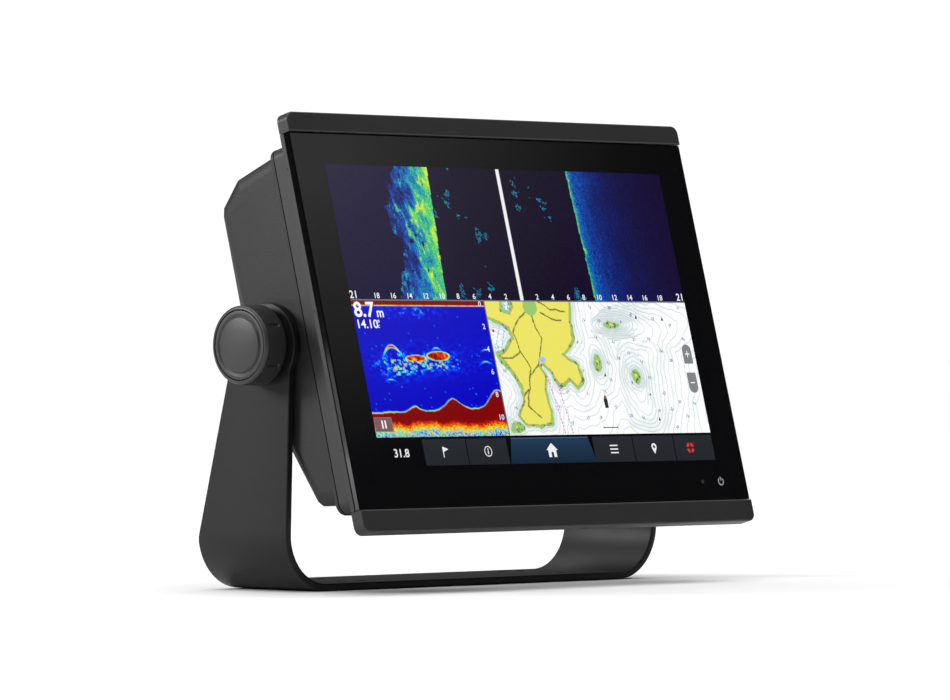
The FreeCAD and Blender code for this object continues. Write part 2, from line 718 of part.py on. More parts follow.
def housing_gasket():
    """The seal that fills the seam between the two housings, set in so that the seam shows as a groove."""
    outer = plate(-BOX_X + SEAM_INSET, BOX_X - SEAM_INSET, BOX_BOTTOM + SEAM_INSET, BOX_TOP - SEAM_INSET,
                  FRONT_DEPTH, LIP_FRONT, (BOX_CORNER - SEAM_INSET,) * 4)
    return outer.cut(plate(-IN_X, IN_X, IN_BOTTOM, IN_TOP, FRONT_DEPTH, LIP_FRONT, (IN_CORNER,) * 4))


# ---------------------------------------------------------------- card bay

def door_levels():
    """Depths of the door's back face, the seal's far face and the bay's floor."""
    door_inner = TOTAL_DEPTH - DOOR_T
    ledge = door_inner - SEAL_T - FACE_GAP
    return door_inner, ledge, TOTAL_DEPTH - BAY_FLOOR


def hinge_line():
    """The x and the depth of the card door's hinge axis."""
    _, x1, _, _ = door_box()
    return x1 - HINGE_IN, TOTAL_DEPTH - DOOR_T / 2 - HINGE_SINK


def reader_window(y0, y1):
    """The card reader's outline, from one depth to another."""
    x0, x1, z0, z1 = door_box()
    left = (x0 + x1 - HINGE_IN - READER_W) / 2
    low = (z0 + z1 - READER_H) / 2
    return block(left, left + READER_W, y0, y1, low, low + READER_H)


def door_cuts():
    """The opening that the door closes, and the holes for its hinge pin."""
    x0, x1, z0, z1 = door_box()
    opening = block(x0, x1, BACK_INNER - OVERRUN, TOTAL_DEPTH + OVERRUN, z0, z1)
    return opening, card_door_pin()


def card_bay_tub():
    """The moulded tub behind the door: a flange inside the back, a raised sealing ledge and the bay."""
    x0, x1, z0, z1 = door_box()
    _, ledge, floor = door_levels()
    back = TOTAL_DEPTH - TUB_DEPTH
    flange = block(x0 - TUB_WALL, x1 + TUB_WALL, back, BACK_INNER, z0 - TUB_WALL, z1 + TUB_WALL)
    rim = block(x0 + TUB_FIT, x1 - TUB_FIT, back, ledge, z0 + TUB_FIT, z1 - TUB_FIT)
    bay = block(x0 + DOOR_LEDGE, x1 - DOOR_LEDGE - HINGE_IN, floor, TOTAL_DEPTH,
                z0 + DOOR_LEDGE, z1 - DOOR_LEDGE)
    return joined(flange, rim).cut(bay).cut(reader_window(back - OVERRUN, floor + OVERRUN))


def card_door():
    """The door, rounded about its hinge, with a finger notch at its free edge."""
    x0, _, z0, z1 = door_box()
    hinge_x, hinge_y = hinge_line()
    door_inner, _, _ = door_levels()
    low, high = z0 + DOOR_CLEAR, z1 - DOOR_CLEAR
    leaf = block(x0 + DOOR_CLEAR, hinge_x, door_inner, TOTAL_DEPTH, low, high)
    knuckle_r = TOTAL_DEPTH - hinge_y
    knuckle = rod(knuckle_r, V(hinge_x, hinge_y, low), Z_AXIS, high - low)
    notch = rod(FINGER_R, V(x0 - FINGER_OUT, door_inner + FINGER_FLOOR, (z0 + z1) / 2), Y_AXIS, DOOR_T)
    pin_hole = rod(DOOR_PIN_R + PIN_CLEAR, V(hinge_x, hinge_y, low), Z_AXIS, high - low)
    return joined(leaf, knuckle).cut(notch).cut(pin_hole)


def card_door_seal():
    """The rubber ring on the inside of the door."""
    x0, x1, z0, z1 = door_box()
    door_inner, _, _ = door_levels()
    near, far = SEAL_NEAR, DOOR_LEDGE - SEAL_LEDGE_GAP
    right = x1 - HINGE_IN
    outer = block(x0 + near, right - near, door_inner - SEAL_T, door_inner, z0 + near, z1 - near)
    inner = block(x0 + far, right - far, door_inner - SEAL_T, door_inner, z0 + far, z1 - far)
    return outer.cut(inner)


def card_reader():
    """The reader behind the bay's floor, with two card slots."""
    _, _, floor = door_levels()
    reader = reader_window(floor - READER_T, floor)
    middle = reader.CenterOfMass
    for rise in CARD_SLOTS:
        low = middle.z + rise
        slot = block(middle.x - CARD_W / 2, middle.x + CARD_W / 2, floor - CARD_SLOT_DEEP, floor,
                     low, low + CARD_SLOT_T)
        reader = reader.cut(slot)
    return reader


def card_door_pin():
    """The steel pin that the card door turns on."""
    _, _, z0, z1 = door_box()
    hinge_x, hinge_y = hinge_line()
    return rod(DOOR_PIN_R, V(hinge_x, hinge_y, z0 - PIN_END), Z_AXIS, z1 - z0 + 2 * PIN_END)


# ---------------------------------------------------------------- sockets

def socket_shell(radius):
    """A threaded collar outside, a flange on the housing and a barrel through its wall."""
    flange = rod(radius + SOCKET_FLANGE, V(0, 0, SOCKET_SEAL_T), Z_AXIS, SOCKET_FLANGE_T)
    collar = rod(radius, V(0, 0, -SOCKET_BARREL), Z_AXIS, SOCKET_BARREL + SOCKET_BASE + SOCKET_PROUD)
    recess = rod(radius - COLLAR_WALL, V(0, 0, SOCKET_BASE), Z_AXIS, SOCKET_PROUD)
    return joined(flange, collar).cut(recess)


def socket_insert(radius, contacts, circle):
    """The insulator inside a collar, with its ring of contact holes."""
    body = rod(radius - COLLAR_WALL - INSERT_GAP, V(0, 0, SOCKET_BASE), Z_AXIS, SOCKET_PROUD - INSERT_BELOW)
    for i in range(contacts):
        angle = 2 * math.pi * i / contacts
        place = V(circle * math.cos(angle), circle * math.sin(angle), SOCKET_BASE + CONTACT_FLOOR)
        body = body.cut(rod(CONTACT_R, place, Z_AXIS, SOCKET_PROUD))
    return body


def hexagon(half, place, axis, length):
    """A six-sided bar from a point along an axis, measured to its corners."""
    points = []
    for i in range(7):
        angle = math.pi * i / 3
        across, up = half * math.cos(angle), half * math.sin(angle)
        points.append(place + (V(across, up, 0) if axis == Z_AXIS else V(0, across, up)))
    return Part.Face(Part.makePolygon(points)).extrude(axis * length)


def socket_nut(radius):
    """The hexagon nut that holds a socket from inside, where the wall's inner face is flat."""
    start = V(0, 0, -REAR_WALL - NUT_T)
    nut = hexagon(radius + NUT_GROW, start, Z_AXIS, NUT_T)
    return nut.cut(rod(radius + SOCKET_FIT, start, Z_AXIS, NUT_T))


def socket_seal(radius):
    """The flat seal under a socket's flange."""
    return ring(radius + SOCKET_SEAL_W, radius + SOCKET_FIT, V(0, 0, 0), Z_AXIS, SOCKET_SEAL_T)


# ---------------------------------------------------------------- pivot and knobs, right-hand side

def pivot_insert():
    """The threaded steel insert: flange inside, body in the boss, shoulder that the arm turns on."""
    flange_x = INSERT_BACK_X - INSERT_FLANGE_T
    end_x = ARM_OUT - SHOULDER_SHORT
    bore_r = STUD_R + STUD_CLEAR
    profile = (
        (flange_x, bore_r), (flange_x, INSERT_R + INSERT_FLANGE), (INSERT_BACK_X, INSERT_R + INSERT_FLANGE),
        (INSERT_BACK_X, INSERT_R), (FRICTION_FLOOR_X, INSERT_R), (FRICTION_FLOOR_X, SHOULDER_R),
        (end_x, SHOULDER_R), (end_x, bore_r),
    )
    return turned(profile)


def friction_disc():
    """The disc that grips between the boss and the arm, with a bevelled rim."""
    bore_r = SHOULDER_R + FRICTION_BORE
    profile = (
        (FRICTION_FLOOR_X, bore_r),
        (FRICTION_FLOOR_X, FRICTION_R),
        (FRICTION_X - FRICTION_RIM, FRICTION_R),
        (FRICTION_X, FRICTION_R - FRICTION_RIM),
        (FRICTION_X, bore_r),
    )
    return turned(profile)


def knob_washer():
    """The plain washer kept on the stud between the knob and the arm."""
    return ring(WASHER_R, STUD_R + WASHER_BORE, V(ARM_OUT + FACE_GAP, 0, 0), X_AXIS, WASHER_T)


def knob_stud():
    """The threaded stud with a hexagon head moulded into the grip."""
    start = INSERT_BACK_X + STUD_INSET
    shank = rod(STUD_R, V(start, 0, 0), X_AXIS, HEAD_BACK_X - start)
    return joined(shank, hexagon(HEAD_HALF, V(HEAD_BACK_X, 0, 0), X_AXIS, HEAD_LONG))


def knob_grip():
    """The moulded grip: hub, slightly tapered skirt with short notches, rounded front rim."""
    recess_r = CAP_R + CAP_GAP
    profile = [(HUB_X, 0), (HUB_X, HUB_R), (KNOB_BACK_X, HUB_R), (KNOB_BACK_X, KNOB_R - SKIRT_EDGE),
               (KNOB_BACK_X + SKIRT_EDGE, KNOB_R)]
    centre_x = KNOB_FRONT_X - RIM_ROUND
    centre_r = KNOB_FRONT_R - RIM_ROUND
    for i in range(RIM_STEPS + 1):
        angle = math.pi / 2 * i / RIM_STEPS
        profile.append((centre_x + RIM_ROUND * math.sin(angle), centre_r + RIM_ROUND * math.cos(angle)))
    profile += [(KNOB_FRONT_X, recess_r + MOUTH_WIDE), (KNOB_FRONT_X - MOUTH_DEEP, recess_r),
                (CAP_BACK_X, recess_r), (CAP_BACK_X, 0)]
    grip = turned(profile)
    notch_x = (KNOB_BACK_X + KNOB_FRONT_X - GRIP_NOTCH_LONG) / 2 - GRIP_NOTCH_BACK
    for i in range(GRIP_NOTCHES):
        notch = rod(GRIP_NOTCH_R, V(notch_x, KNOB_R, 0), X_AXIS, GRIP_NOTCH_LONG)
        notch.rotate(V(0, 0, 0), X_AXIS, 360 * (i + 0.5) / GRIP_NOTCHES - 90)
        grip = grip.cut(notch)
    return grip.cut(knob_stud())


def knob_cap():
    """The front cap: a flat ring, a sloped ring and a slightly domed centre."""
    profile = [(CAP_BACK_X, 0), (CAP_BACK_X, CAP_R), (KNOB_FRONT_X - CAP_EDGE, CAP_R)]
    profile += [(KNOB_FRONT_X + proud, radius) for proud, radius in CAP_FACE]
    return turned(profile)


def at_pivot(shape):
    """Moves a shape modelled about the X axis to the pivot, in the display's own frame."""
    moved = shape.copy()
    moved.translate(V(0, PIVOT_DEPTH, -PIVOT_DROP))
    return moved


# ---------------------------------------------------------------- inside the housing

def cell_plate(margin, y0, y1):
    """A plate behind the glass that overlaps the lit screen by a margin on every side."""
    x = SCREEN_W / 2 + margin
    z = SCREEN_H / 2 + margin
    return plate(-x, x, -z, z, y0, y1)


def board_zone():
    """x and z limits for the boards on the chassis plate."""
    return -IN_X + BOARD_EDGE / 2, IN_X - BOARD_EDGE / 2, IN_BOTTOM + BOARD_EDGE, IN_TOP - BOARD_EDGE


def main_board_box():
    """The main board's limits: everything left of the power board."""
    x0, x1, z0, z1 = board_zone()
    return x0, x1 - POWER_BOARD_W - BOARD_GAP, z0, z1


def power_board_box():
    """The power board's limits: the strip at the right."""
    _, x1, z0, z1 = board_zone()
    return x1 - POWER_BOARD_W, x1, z0, z1


def board_hole_places():
    """The centres of the board screws, near each board's corners."""
    places = []
    for x0, x1, z0, z1 in (main_board_box(), power_board_box()):
        for x in (x0 + BOARD_HOLE_IN, x1 - BOARD_HOLE_IN):
            for z in (z0 + BOARD_HOLE_IN, z1 - BOARD_HOLE_IN):
                places.append((x, z))
    return places


def drilled(board, places, radius):
    """A board or plate with a hole through it at each place."""
    for x, z in places:
        board = board.cut(rod(radius, V(x, 0, z), Y_AXIS, TOTAL_DEPTH))
    return board


def chassis_plate():
    """The steel plate that holds the screen stack and carries the boards."""
    sheet = plate(-IN_X + PLATE_CLEAR, IN_X - PLATE_CLEAR, IN_BOTTOM + PLATE_CLEAR, IN_TOP - PLATE_CLEAR,
                  PLATE_FRONT, PLATE_BACK, (IN_CORNER,) * 4)
    places = [(x, z) for x in pad_places() for z in chassis_screw_zs()]
    slot_x, slot_z = ribbon_place()
    half = RIBBON_W / 2 + RIBBON_ROOM
    slot = block(slot_x - half, slot_x + half, PLATE_FRONT, PLATE_BACK,
                 slot_z - RIBBON_ROOM, slot_z + RIBBON_ROOM)
    return drilled(sheet, places, SCREW_HOLE_R).cut(slot)


def ribbon_place():
    """Where the display ribbon passes through the chassis plate."""
    x0, x1, z0, _ = main_board_box()
    return (x0 + x1) / 2, z0 + RIBBON_RISE


def machine_screw(x, y, z, length, shank_r, head_r, head_t):
    """A screw whose head's underside is at y, with its shank pointing forward."""
    shank = rod(shank_r, V(x, y - length, z), Y_AXIS, length)
    head = rod(head_r, V(x, y, z), Y_AXIS, head_t)
    return joined(shank, head)


def processor_place():
    """The centre of the processor on the main board."""
    x0, x1, z0, z1 = main_board_box()
    across, up = PROCESSOR_SHARES
    return x0 + across * (x1 - x0), z0 + up * (z1 - z0)


def centred(x, z, width, height, y0, y1, corner=0):
    """A plate of a given width and height, centred on (x, z)."""
    return plate(x - width / 2, x + width / 2, z - height / 2, z + height / 2, y0, y1, (corner,) * 4)


def heat_spreader():
    """An aluminium plate on the processor's thermal pad, on four legs that stand on the board."""
    x, z = processor_place()
    front = BOARD_BACK + SHIELD_T + PAD_THICK
    width, height = SHIELD_W + 2 * SPREADER_GROW, SHIELD_H + 2 * SPREADER_GROW
    spreader = centred(x, z, width, height, front, front + SPREADER_T, SPREADER_CORNER)
    for sx in (-1, 1):
        for sz in (-1, 1):
            place = V(x + sx * (width / 2 - LEG_IN), BOARD_BACK, z + sz * (height / 2 - LEG_IN))
            spreader = joined(spreader, rod(LEG_R, place, Y_AXIS, front - BOARD_BACK))
    return spreader


def sonar_place():
    """The centre of the sonar board, behind the fins."""
    return SONAR_SHARE * BEVEL_X, (BOX_TOP - BACK_TOP_DROP + SLOPE_TOP) / 2


def sonar_posts():
    """Four spacers between the sonar board and the inside of the back."""
    x, z = sonar_place()
    reach_x, reach_z = SONAR_W / 2 - SONAR_POST_IN, SONAR_H / 2 - SONAR_POST_IN
    posts = []
    for sx in (-1, 1):
        for sz in (-1, 1):
            posts.append(rod(POST_R, V(x + sx * reach_x, SONAR_FACE, z + sz * reach_z), Y_AXIS, SONAR_BACK))
    return posts


# ---------------------------------------------------------------- build

def build_display():
    """Every piece that tilts with the screen."""
    write_display("front_glass", front_glass())
    write_display("glass_gasket", glass_gasket())
    write_display("top_trim", trim(True))
    write_display("bottom_trim", trim(False))
    write_display("front_housing", front_housing())
    write_display("rear_housing", rear_housing())

    write_display("housing_gasket", housing_gasket())
    head_y = LIP_BACK + POCKET_FLOOR
    screws = [machine_screw(x, head_y, z, HOUSING_SCREW_LONG, SCREW_R, HEAD_R, HEAD_T)
              for x, z in POST_PLACES]
    write_display("housing_screws", *screws)
    write_display("vent_plug", vent_plug())


def build_card_bay():
    """The memory card bay's pieces."""
    write_display("card_bay_tub", card_bay_tub())
    write_display("card_reader", card_reader())
    write_display("card_door", card_door())
    write_display("card_door_seal", card_door_seal())
    write_display("card_door_pin", card_door_pin())


def build_sockets():
    """The five sockets on the slanted face, with what holds and seals them."""
    inserts, nuts, seals = [], [], []
    for name, radius, x, contacts, circle in SOCKETS:
        write_display(name, on_slope(socket_shell(radius), x))
        inserts.append(on_slope(socket_insert(radius, contacts, circle), x))
        nuts.append(on_slope(socket_nut(radius), x))
        seals.append(on_slope(socket_seal(radius), x))
    write_display("socket_inserts", *inserts)
    write_display("socket_nuts", *nuts)
    write_display("socket_seals", *seals)


def build_pivot():
    """Inserts, friction discs, washers and knobs on both sides."""
    pieces = (
        ("pivot_insert", pivot_insert()),
        ("friction_disc", friction_disc()),
        ("knob_washer", knob_washer()),
        ("knob_stud", knob_stud()),
        ("knob_grip", knob_grip()),
        ("knob_cap", knob_cap()),
    )
    for name, shape in pieces:
        right, left = both_sides(at_pivot(shape))
        write_display(name + "_right", right)
        write_display(name + "_left", left)


def build_screen_stack():
    """The layers behind the glass, up to the chassis plate."""
    write_display("touch_film", cell_plate(BACKLIGHT_MARGIN, GLASS_T, CELL_FRONT))
    write_display("lcd_cell", cell_plate(CELL_MARGIN, CELL_FRONT, BACKLIGHT_FRONT))
    write_display("backlight_unit", cell_plate(BACKLIGHT_MARGIN, BACKLIGHT_FRONT, PLATE_FRONT))
    key_z = GLASS_BOTTOM + KEY_RISE
    write_display("light_sensor", rod(SENSOR_R, V(GLASS_X - SENSOR_SIDE, GLASS_T, key_z), Y_AXIS, SENSOR_T))
    write_display("touch_key_board", centred(GLASS_X - KEY_SIDE, key_z, KEY_BOARD_W, KEY_BOARD_H,
                                             GLASS_T, GLASS_T + KEY_BOARD_T))
    write_display("chassis_plate", chassis_plate())
    screws = []
    for x in pad_places():
        for z in chassis_screw_zs():
            screws.append(machine_screw(x, PLATE_BACK, z, PLATE_SCREW_LONG, SCREW_R - SCREW_FIT, HEAD_R,
                                        PLATE_HEAD_T))
    write_display("chassis_screws", *screws)


def build_boards():
    """The boards on the chassis plate, their posts, screws and ribbon."""
    places = board_hole_places()
    for name, limits in (("main_board", main_board_box()), ("power_board", power_board_box())):
        board = plate(*limits, BOARD_FRONT, BOARD_BACK)
        write_display(name, drilled(board, places, SCREW_HOLE_R))
    posts = [ring(POST_R, SCREW_HOLE_R, V(x, PLATE_BACK, z), Y_AXIS, BOARD_RAISE) for x, z in places]
    write_display("board_standoffs", *posts)
    length = BOARD_T + SMALL_SCREW_BITE
    screws = [machine_screw(x, BOARD_BACK, z, length, SMALL_SCREW_R, SMALL_HEAD_R, SMALL_HEAD_T)
              for x, z in places]
    write_display("board_screws", *screws)
    slot_x, slot_z = ribbon_place()
    write_display("display_ribbon", block(slot_x - RIBBON_W / 2, slot_x + RIBBON_W / 2, PLATE_FRONT,
                                          BOARD_FRONT, slot_z - RIBBON_T / 2, slot_z + RIBBON_T / 2))


def build_components():
    """What stands on the main and power boards."""
    x, z = processor_place()
    shield_back = BOARD_BACK + SHIELD_T
    write_display("processor_shield",
                  centred(x, z, SHIELD_W, SHIELD_H, BOARD_BACK, shield_back, SHIELD_CORNER))
    write_display("thermal_pad", centred(x, z, SHIELD_W - 2 * PAD_INSET, SHIELD_H - 2 * PAD_INSET,
                                         shield_back, shield_back + PAD_THICK))
    write_display("heat_spreader", heat_spreader())
    x0, x1, z0, z1 = main_board_box()
    write_display("buzzer", rod(BUZZER_R, V(x1 - BUZZER_IN, BOARD_BACK, z0 + BUZZER_RISE), Y_AXIS, BUZZER_T))
    write_display("position_antenna", centred((x0 + x1) / 2, z1 - ANTENNA_DROP, ANTENNA_W, ANTENNA_H,
                                              BOARD_BACK, BOARD_BACK + ANTENNA_T, SHIELD_CORNER))
    x0, x1, z0, z1 = power_board_box()
    coil_place = V((x0 + x1) / 2, BOARD_BACK, z0 + COIL_SHARE * (z1 - z0))
    write_display("input_coil", ring(COIL_R, COIL_HOLE_R, coil_place, Y_AXIS, COIL_T))


def build_sonar():
    """The sonar board on its posts behind the fins, with its transformer."""
    x, z = sonar_place()
    front = SONAR_FACE - BOARD_T
    write_display("sonar_board", centred(x, z, SONAR_W, SONAR_H, front, SONAR_FACE))
    write_display("sonar_transformer", centred(x - TRANSFORMER_OUT, z, TRANSFORMER_W, TRANSFORMER_H,
                                               front - TRANSFORMER_T, front, TRANSFORMER_CORNER))
    write_display("sonar_posts", *sonar_posts())


def main():
    """Builds every node."""
    os.makedirs("parts", exist_ok=True)
    write("bail_bracket", bail_bracket())
    build_display()
    build_card_bay()
    build_sockets()
    build_pivot()
    build_screen_stack()
    build_boards()
    build_components()
    build_sonar()


main()
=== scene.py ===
import json
import logging
import math
from dataclasses import dataclass, field
from enum import Enum
from typing import Callable, Sequence

import bmesh
import bpy
import numpy as np
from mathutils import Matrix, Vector


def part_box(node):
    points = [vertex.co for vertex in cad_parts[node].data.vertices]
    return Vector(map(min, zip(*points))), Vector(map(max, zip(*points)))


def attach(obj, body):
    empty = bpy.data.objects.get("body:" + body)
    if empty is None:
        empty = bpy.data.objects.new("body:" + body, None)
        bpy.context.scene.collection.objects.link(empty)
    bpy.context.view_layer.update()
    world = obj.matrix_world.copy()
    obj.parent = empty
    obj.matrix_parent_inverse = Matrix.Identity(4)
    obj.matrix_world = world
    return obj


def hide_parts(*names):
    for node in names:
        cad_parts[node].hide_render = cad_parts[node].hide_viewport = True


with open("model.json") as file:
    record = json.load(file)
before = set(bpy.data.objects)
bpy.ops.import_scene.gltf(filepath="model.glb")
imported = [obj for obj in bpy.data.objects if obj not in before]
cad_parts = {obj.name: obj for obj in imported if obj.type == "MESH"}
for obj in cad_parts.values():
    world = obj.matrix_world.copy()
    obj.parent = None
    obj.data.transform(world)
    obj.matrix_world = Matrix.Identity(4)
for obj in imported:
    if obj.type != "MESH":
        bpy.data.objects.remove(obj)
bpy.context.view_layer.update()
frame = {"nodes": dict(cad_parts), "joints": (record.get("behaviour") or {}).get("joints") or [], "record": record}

MM = 0.001
FINISH_START = "finish_"
Array = np.ndarray
Colour = tuple[float, float, float]
Point = tuple[float, float]

log = logging.getLogger("chartplotter")


# ---------------------------------------------------------------- colours and meshes

def linear(colour: Sequence[float] | Array) -> Array:
    """Display values from 0 to 255 as scene-linear values: each is a share of white raised to about 2.2.

    Args:
        colour: one colour, or an array whose last axis holds red, green and blue.

    Returns:
        The same shape, scene-linear, from 0 to 1.
    """
    share = np.asarray(colour, float) / 255.0
    return np.where(share <= 0.04045, share / 12.92, ((share + 0.055) / 1.055) ** 2.4)


def colour_map(stops: Sequence[tuple[float, Colour]], values: Array) -> Array:
    """Looks values up in a ramp of display colours, straight between its stops.

    Args:
        stops: pairs of a value and its colour, in rising order.
        values: any array of values.

    Returns:
        An array with one more axis, holding red, green and blue from 0 to 255.
    """
    places = [stop[0] for stop in stops]
    channels = [np.interp(values, places, [stop[1][i] for stop in stops]) for i in range(3)]
    return np.stack(channels, axis=-1)


def cloud(x: Array, y: Array, size: float, octaves: int, seed: int) -> Array:
    """Soft noise: random values on square lattices, smoothed between, each octave half the size and height.

    Args:
        x: first coordinate of every point.
        y: second coordinate of every point.
        size: the width of the largest lattice's cells.
        octaves: how many lattices are added up.
        seed: the draw.

    Returns:
        Values from about -1 to 1.
    """
    rng = np.random.default_rng(seed)
    total = np.zeros(np.broadcast(x, y).shape)
    height, reach = 1.0, 0.0
    for _ in range(octaves):
        gx, gy = x / size + 500.0, y / size + 500.0
        cells = rng.uniform(-1.0, 1.0, (257, 257))
        ix, iy = np.floor(gx).astype(int), np.floor(gy).astype(int)
        fx, fy = gx - ix, gy - iy
        fx, fy = fx * fx * (3 - 2 * fx), fy * fy * (3 - 2 * fy)
        ix, iy = ix % 256, iy % 256
        low = cells[ix, iy] * (1 - fx) + cells[ix + 1, iy] * fx
        high = cells[ix, iy + 1] * (1 - fx) + cells[ix + 1, iy + 1] * fx
        total += height * (low * (1 - fy) + high * fy)
        reach += height
        height, size = height / 2, size / 2
    return total / reach


def new_piece(name: str, points: Array, faces: Sequence[Sequence[int]] | Array, sharp: float = 35.0
              ) -> bpy.types.Object:
    """Makes a mesh piece at the origin, smooth except where faces meet at more than an angle.

    Args:
        name: the piece's name.
        points: (n, 3) places in metres.
        faces: corner numbers of each face.
        sharp: the angle in degrees past which an edge stays sharp.

    Returns:
        The new object, linked to the scene.
    """
    mesh = bpy.data.meshes.new(name)
    mesh.from_pydata(np.asarray(points).tolist(), [], np.asarray(faces).tolist()
                     if isinstance(faces, np.ndarray) else list(faces))
    mesh.polygons.foreach_set("use_smooth", np.ones(len(mesh.polygons), bool))
    mesh.set_sharp_from_angle(angle=math.radians(sharp))
    mesh.update()
    piece = bpy.data.objects.new(name, mesh)
    bpy.context.scene.collection.objects.link(piece)
    return piece


def grid_faces(rows: int, columns: int, wrap_rows: bool = False, wrap_columns: bool = False) -> Array:
    """The four-cornered faces of a grid of points numbered row by row.

    Args:
        rows: points along the first parameter.
        columns: points along the second parameter.
        wrap_rows: whether the last row joins the first.
        wrap_columns: whether the last column joins the first.

    Returns:
        An array of faces, one for each cell.
    """
    down = np.arange(rows if wrap_rows else rows - 1)
    across = np.arange(columns if wrap_columns else columns - 1)
    i, j = np.meshgrid(down, across, indexing="ij")
    following_i, following_j = (i + 1) % rows, (j + 1) % columns
    cells = (i * columns + j, following_i * columns + j, following_i * columns + following_j,
             i * columns + following_j)
    return np.stack(cells, axis=-1).reshape(-1, 4)


def point_outwards(piece: bpy.types.Object) -> None:
    """Turns a closed piece's faces outwards when its signed volume, summed over triangles, is negative."""
    mesh = piece.data
    mesh.calc_loop_triangles()
    corners = np.empty(len(mesh.loop_triangles) * 3, np.int32)
    mesh.loop_triangles.foreach_get("vertices", corners)
    places = np.empty(len(mesh.vertices) * 3)
    mesh.vertices.foreach_get("co", places)
    a, b, c = places.reshape(-1, 3)[corners.reshape(-1, 3)].transpose(1, 0, 2)
    if np.einsum("ij,ij->i", a, np.cross(b, c)).sum() < 0:
        mesh.flip_normals()


def cut_with(piece: bpy.types.Object, cutter: bpy.types.Object) -> None:
    """Takes a closed cutter away from a closed piece and removes the cutter."""
    change = piece.modifiers.new("cut", "BOOLEAN")
    change.operation = "DIFFERENCE"
    change.solver = "EXACT"
    change.object = cutter
    bpy.context.view_layer.update()
    seen = piece.evaluated_get(bpy.context.evaluated_depsgraph_get())
    mesh = bpy.data.meshes.new_from_object(seen)
    piece.modifiers.clear()
    piece.data = mesh
    bpy.data.objects.remove(cutter)
    mesh.set_sharp_from_angle(angle=math.radians(35))


def capped_tube(name: str, points: Array, sharp: float = 35.0) -> bpy.types.Object:
    """A closed piece from rings of points: a grid wrapped round one way, with a face over each end.

    Args:
        name: the piece's name.
        points: rings by points by (x, y, z), in millimetres.
        sharp: the angle in degrees past which an edge stays sharp.

    Returns:
        The piece, its faces turned outwards.
    """
    rows, columns = points.shape[:2]
    faces = grid_faces(rows, columns, False, True).tolist()
    faces += [tuple(range(columns))[::-1], tuple(range((rows - 1) * columns, rows * columns))]
    piece = new_piece(name, points.reshape(-1, 3) * MM, faces, sharp)
    point_outwards(piece)
    return piece


def settle(piece: bpy.types.Object, body: str, material: bpy.types.Material,
           stands_for: Sequence[str] = ()) -> bpy.types.Object:
    """Gives a finished piece its material and body, and hides the CAD nodes that it stands for.

    Args:
        piece: the finished piece.
        body: the CAD body that it rides on.
        material: its finish.
        stands_for: CAD nodes that aren't shown any more.

    Returns:
        The piece.
    """
    piece.data.materials.clear()
    piece.data.materials.append(material)
    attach(piece, body)
    if stands_for:
        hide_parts(*stands_for)
    log.info("%s: %d faces on %s", piece.name, len(piece.data.polygons), body)
    return piece


# ---------------------------------------------------------------- shader nodes


class Shade:
    """A number that a shader works out. Arithmetic on it adds Math nodes."""

    def __init__(self, kit: "NodeKit", socket: bpy.types.NodeSocket) -> None:
        """Keeps the node kit and the socket that gives the number."""
        self.kit = kit
        self.socket = socket

    def __add__(self, other: "Shade | float") -> "Shade":
        """This plus another."""
        return self.kit.maths("ADD", self, other)

    def __radd__(self, other: float) -> "Shade":
        """A number plus this."""
        return self.kit.maths("ADD", other, self)

    def __sub__(self, other: "Shade | float") -> "Shade":
        """This minus another."""
        return self.kit.maths("SUBTRACT", self, other)

    def __rsub__(self, other: float) -> "Shade":
        """A number minus this."""
        return self.kit.maths("SUBTRACT", other, self)

    def __mul__(self, other: "Shade | float") -> "Shade":
        """This times another."""
        return self.kit.maths("MULTIPLY", self, other)

    def __rmul__(self, other: float) -> "Shade":
        """A number times this."""
        return self.kit.maths("MULTIPLY", other, self)

    def clipped(self) -> "Shade":
        """This, kept from 0 to 1."""
        return self.kit.maths("MINIMUM", self.kit.maths("MAXIMUM", self, 0.0), 1.0)


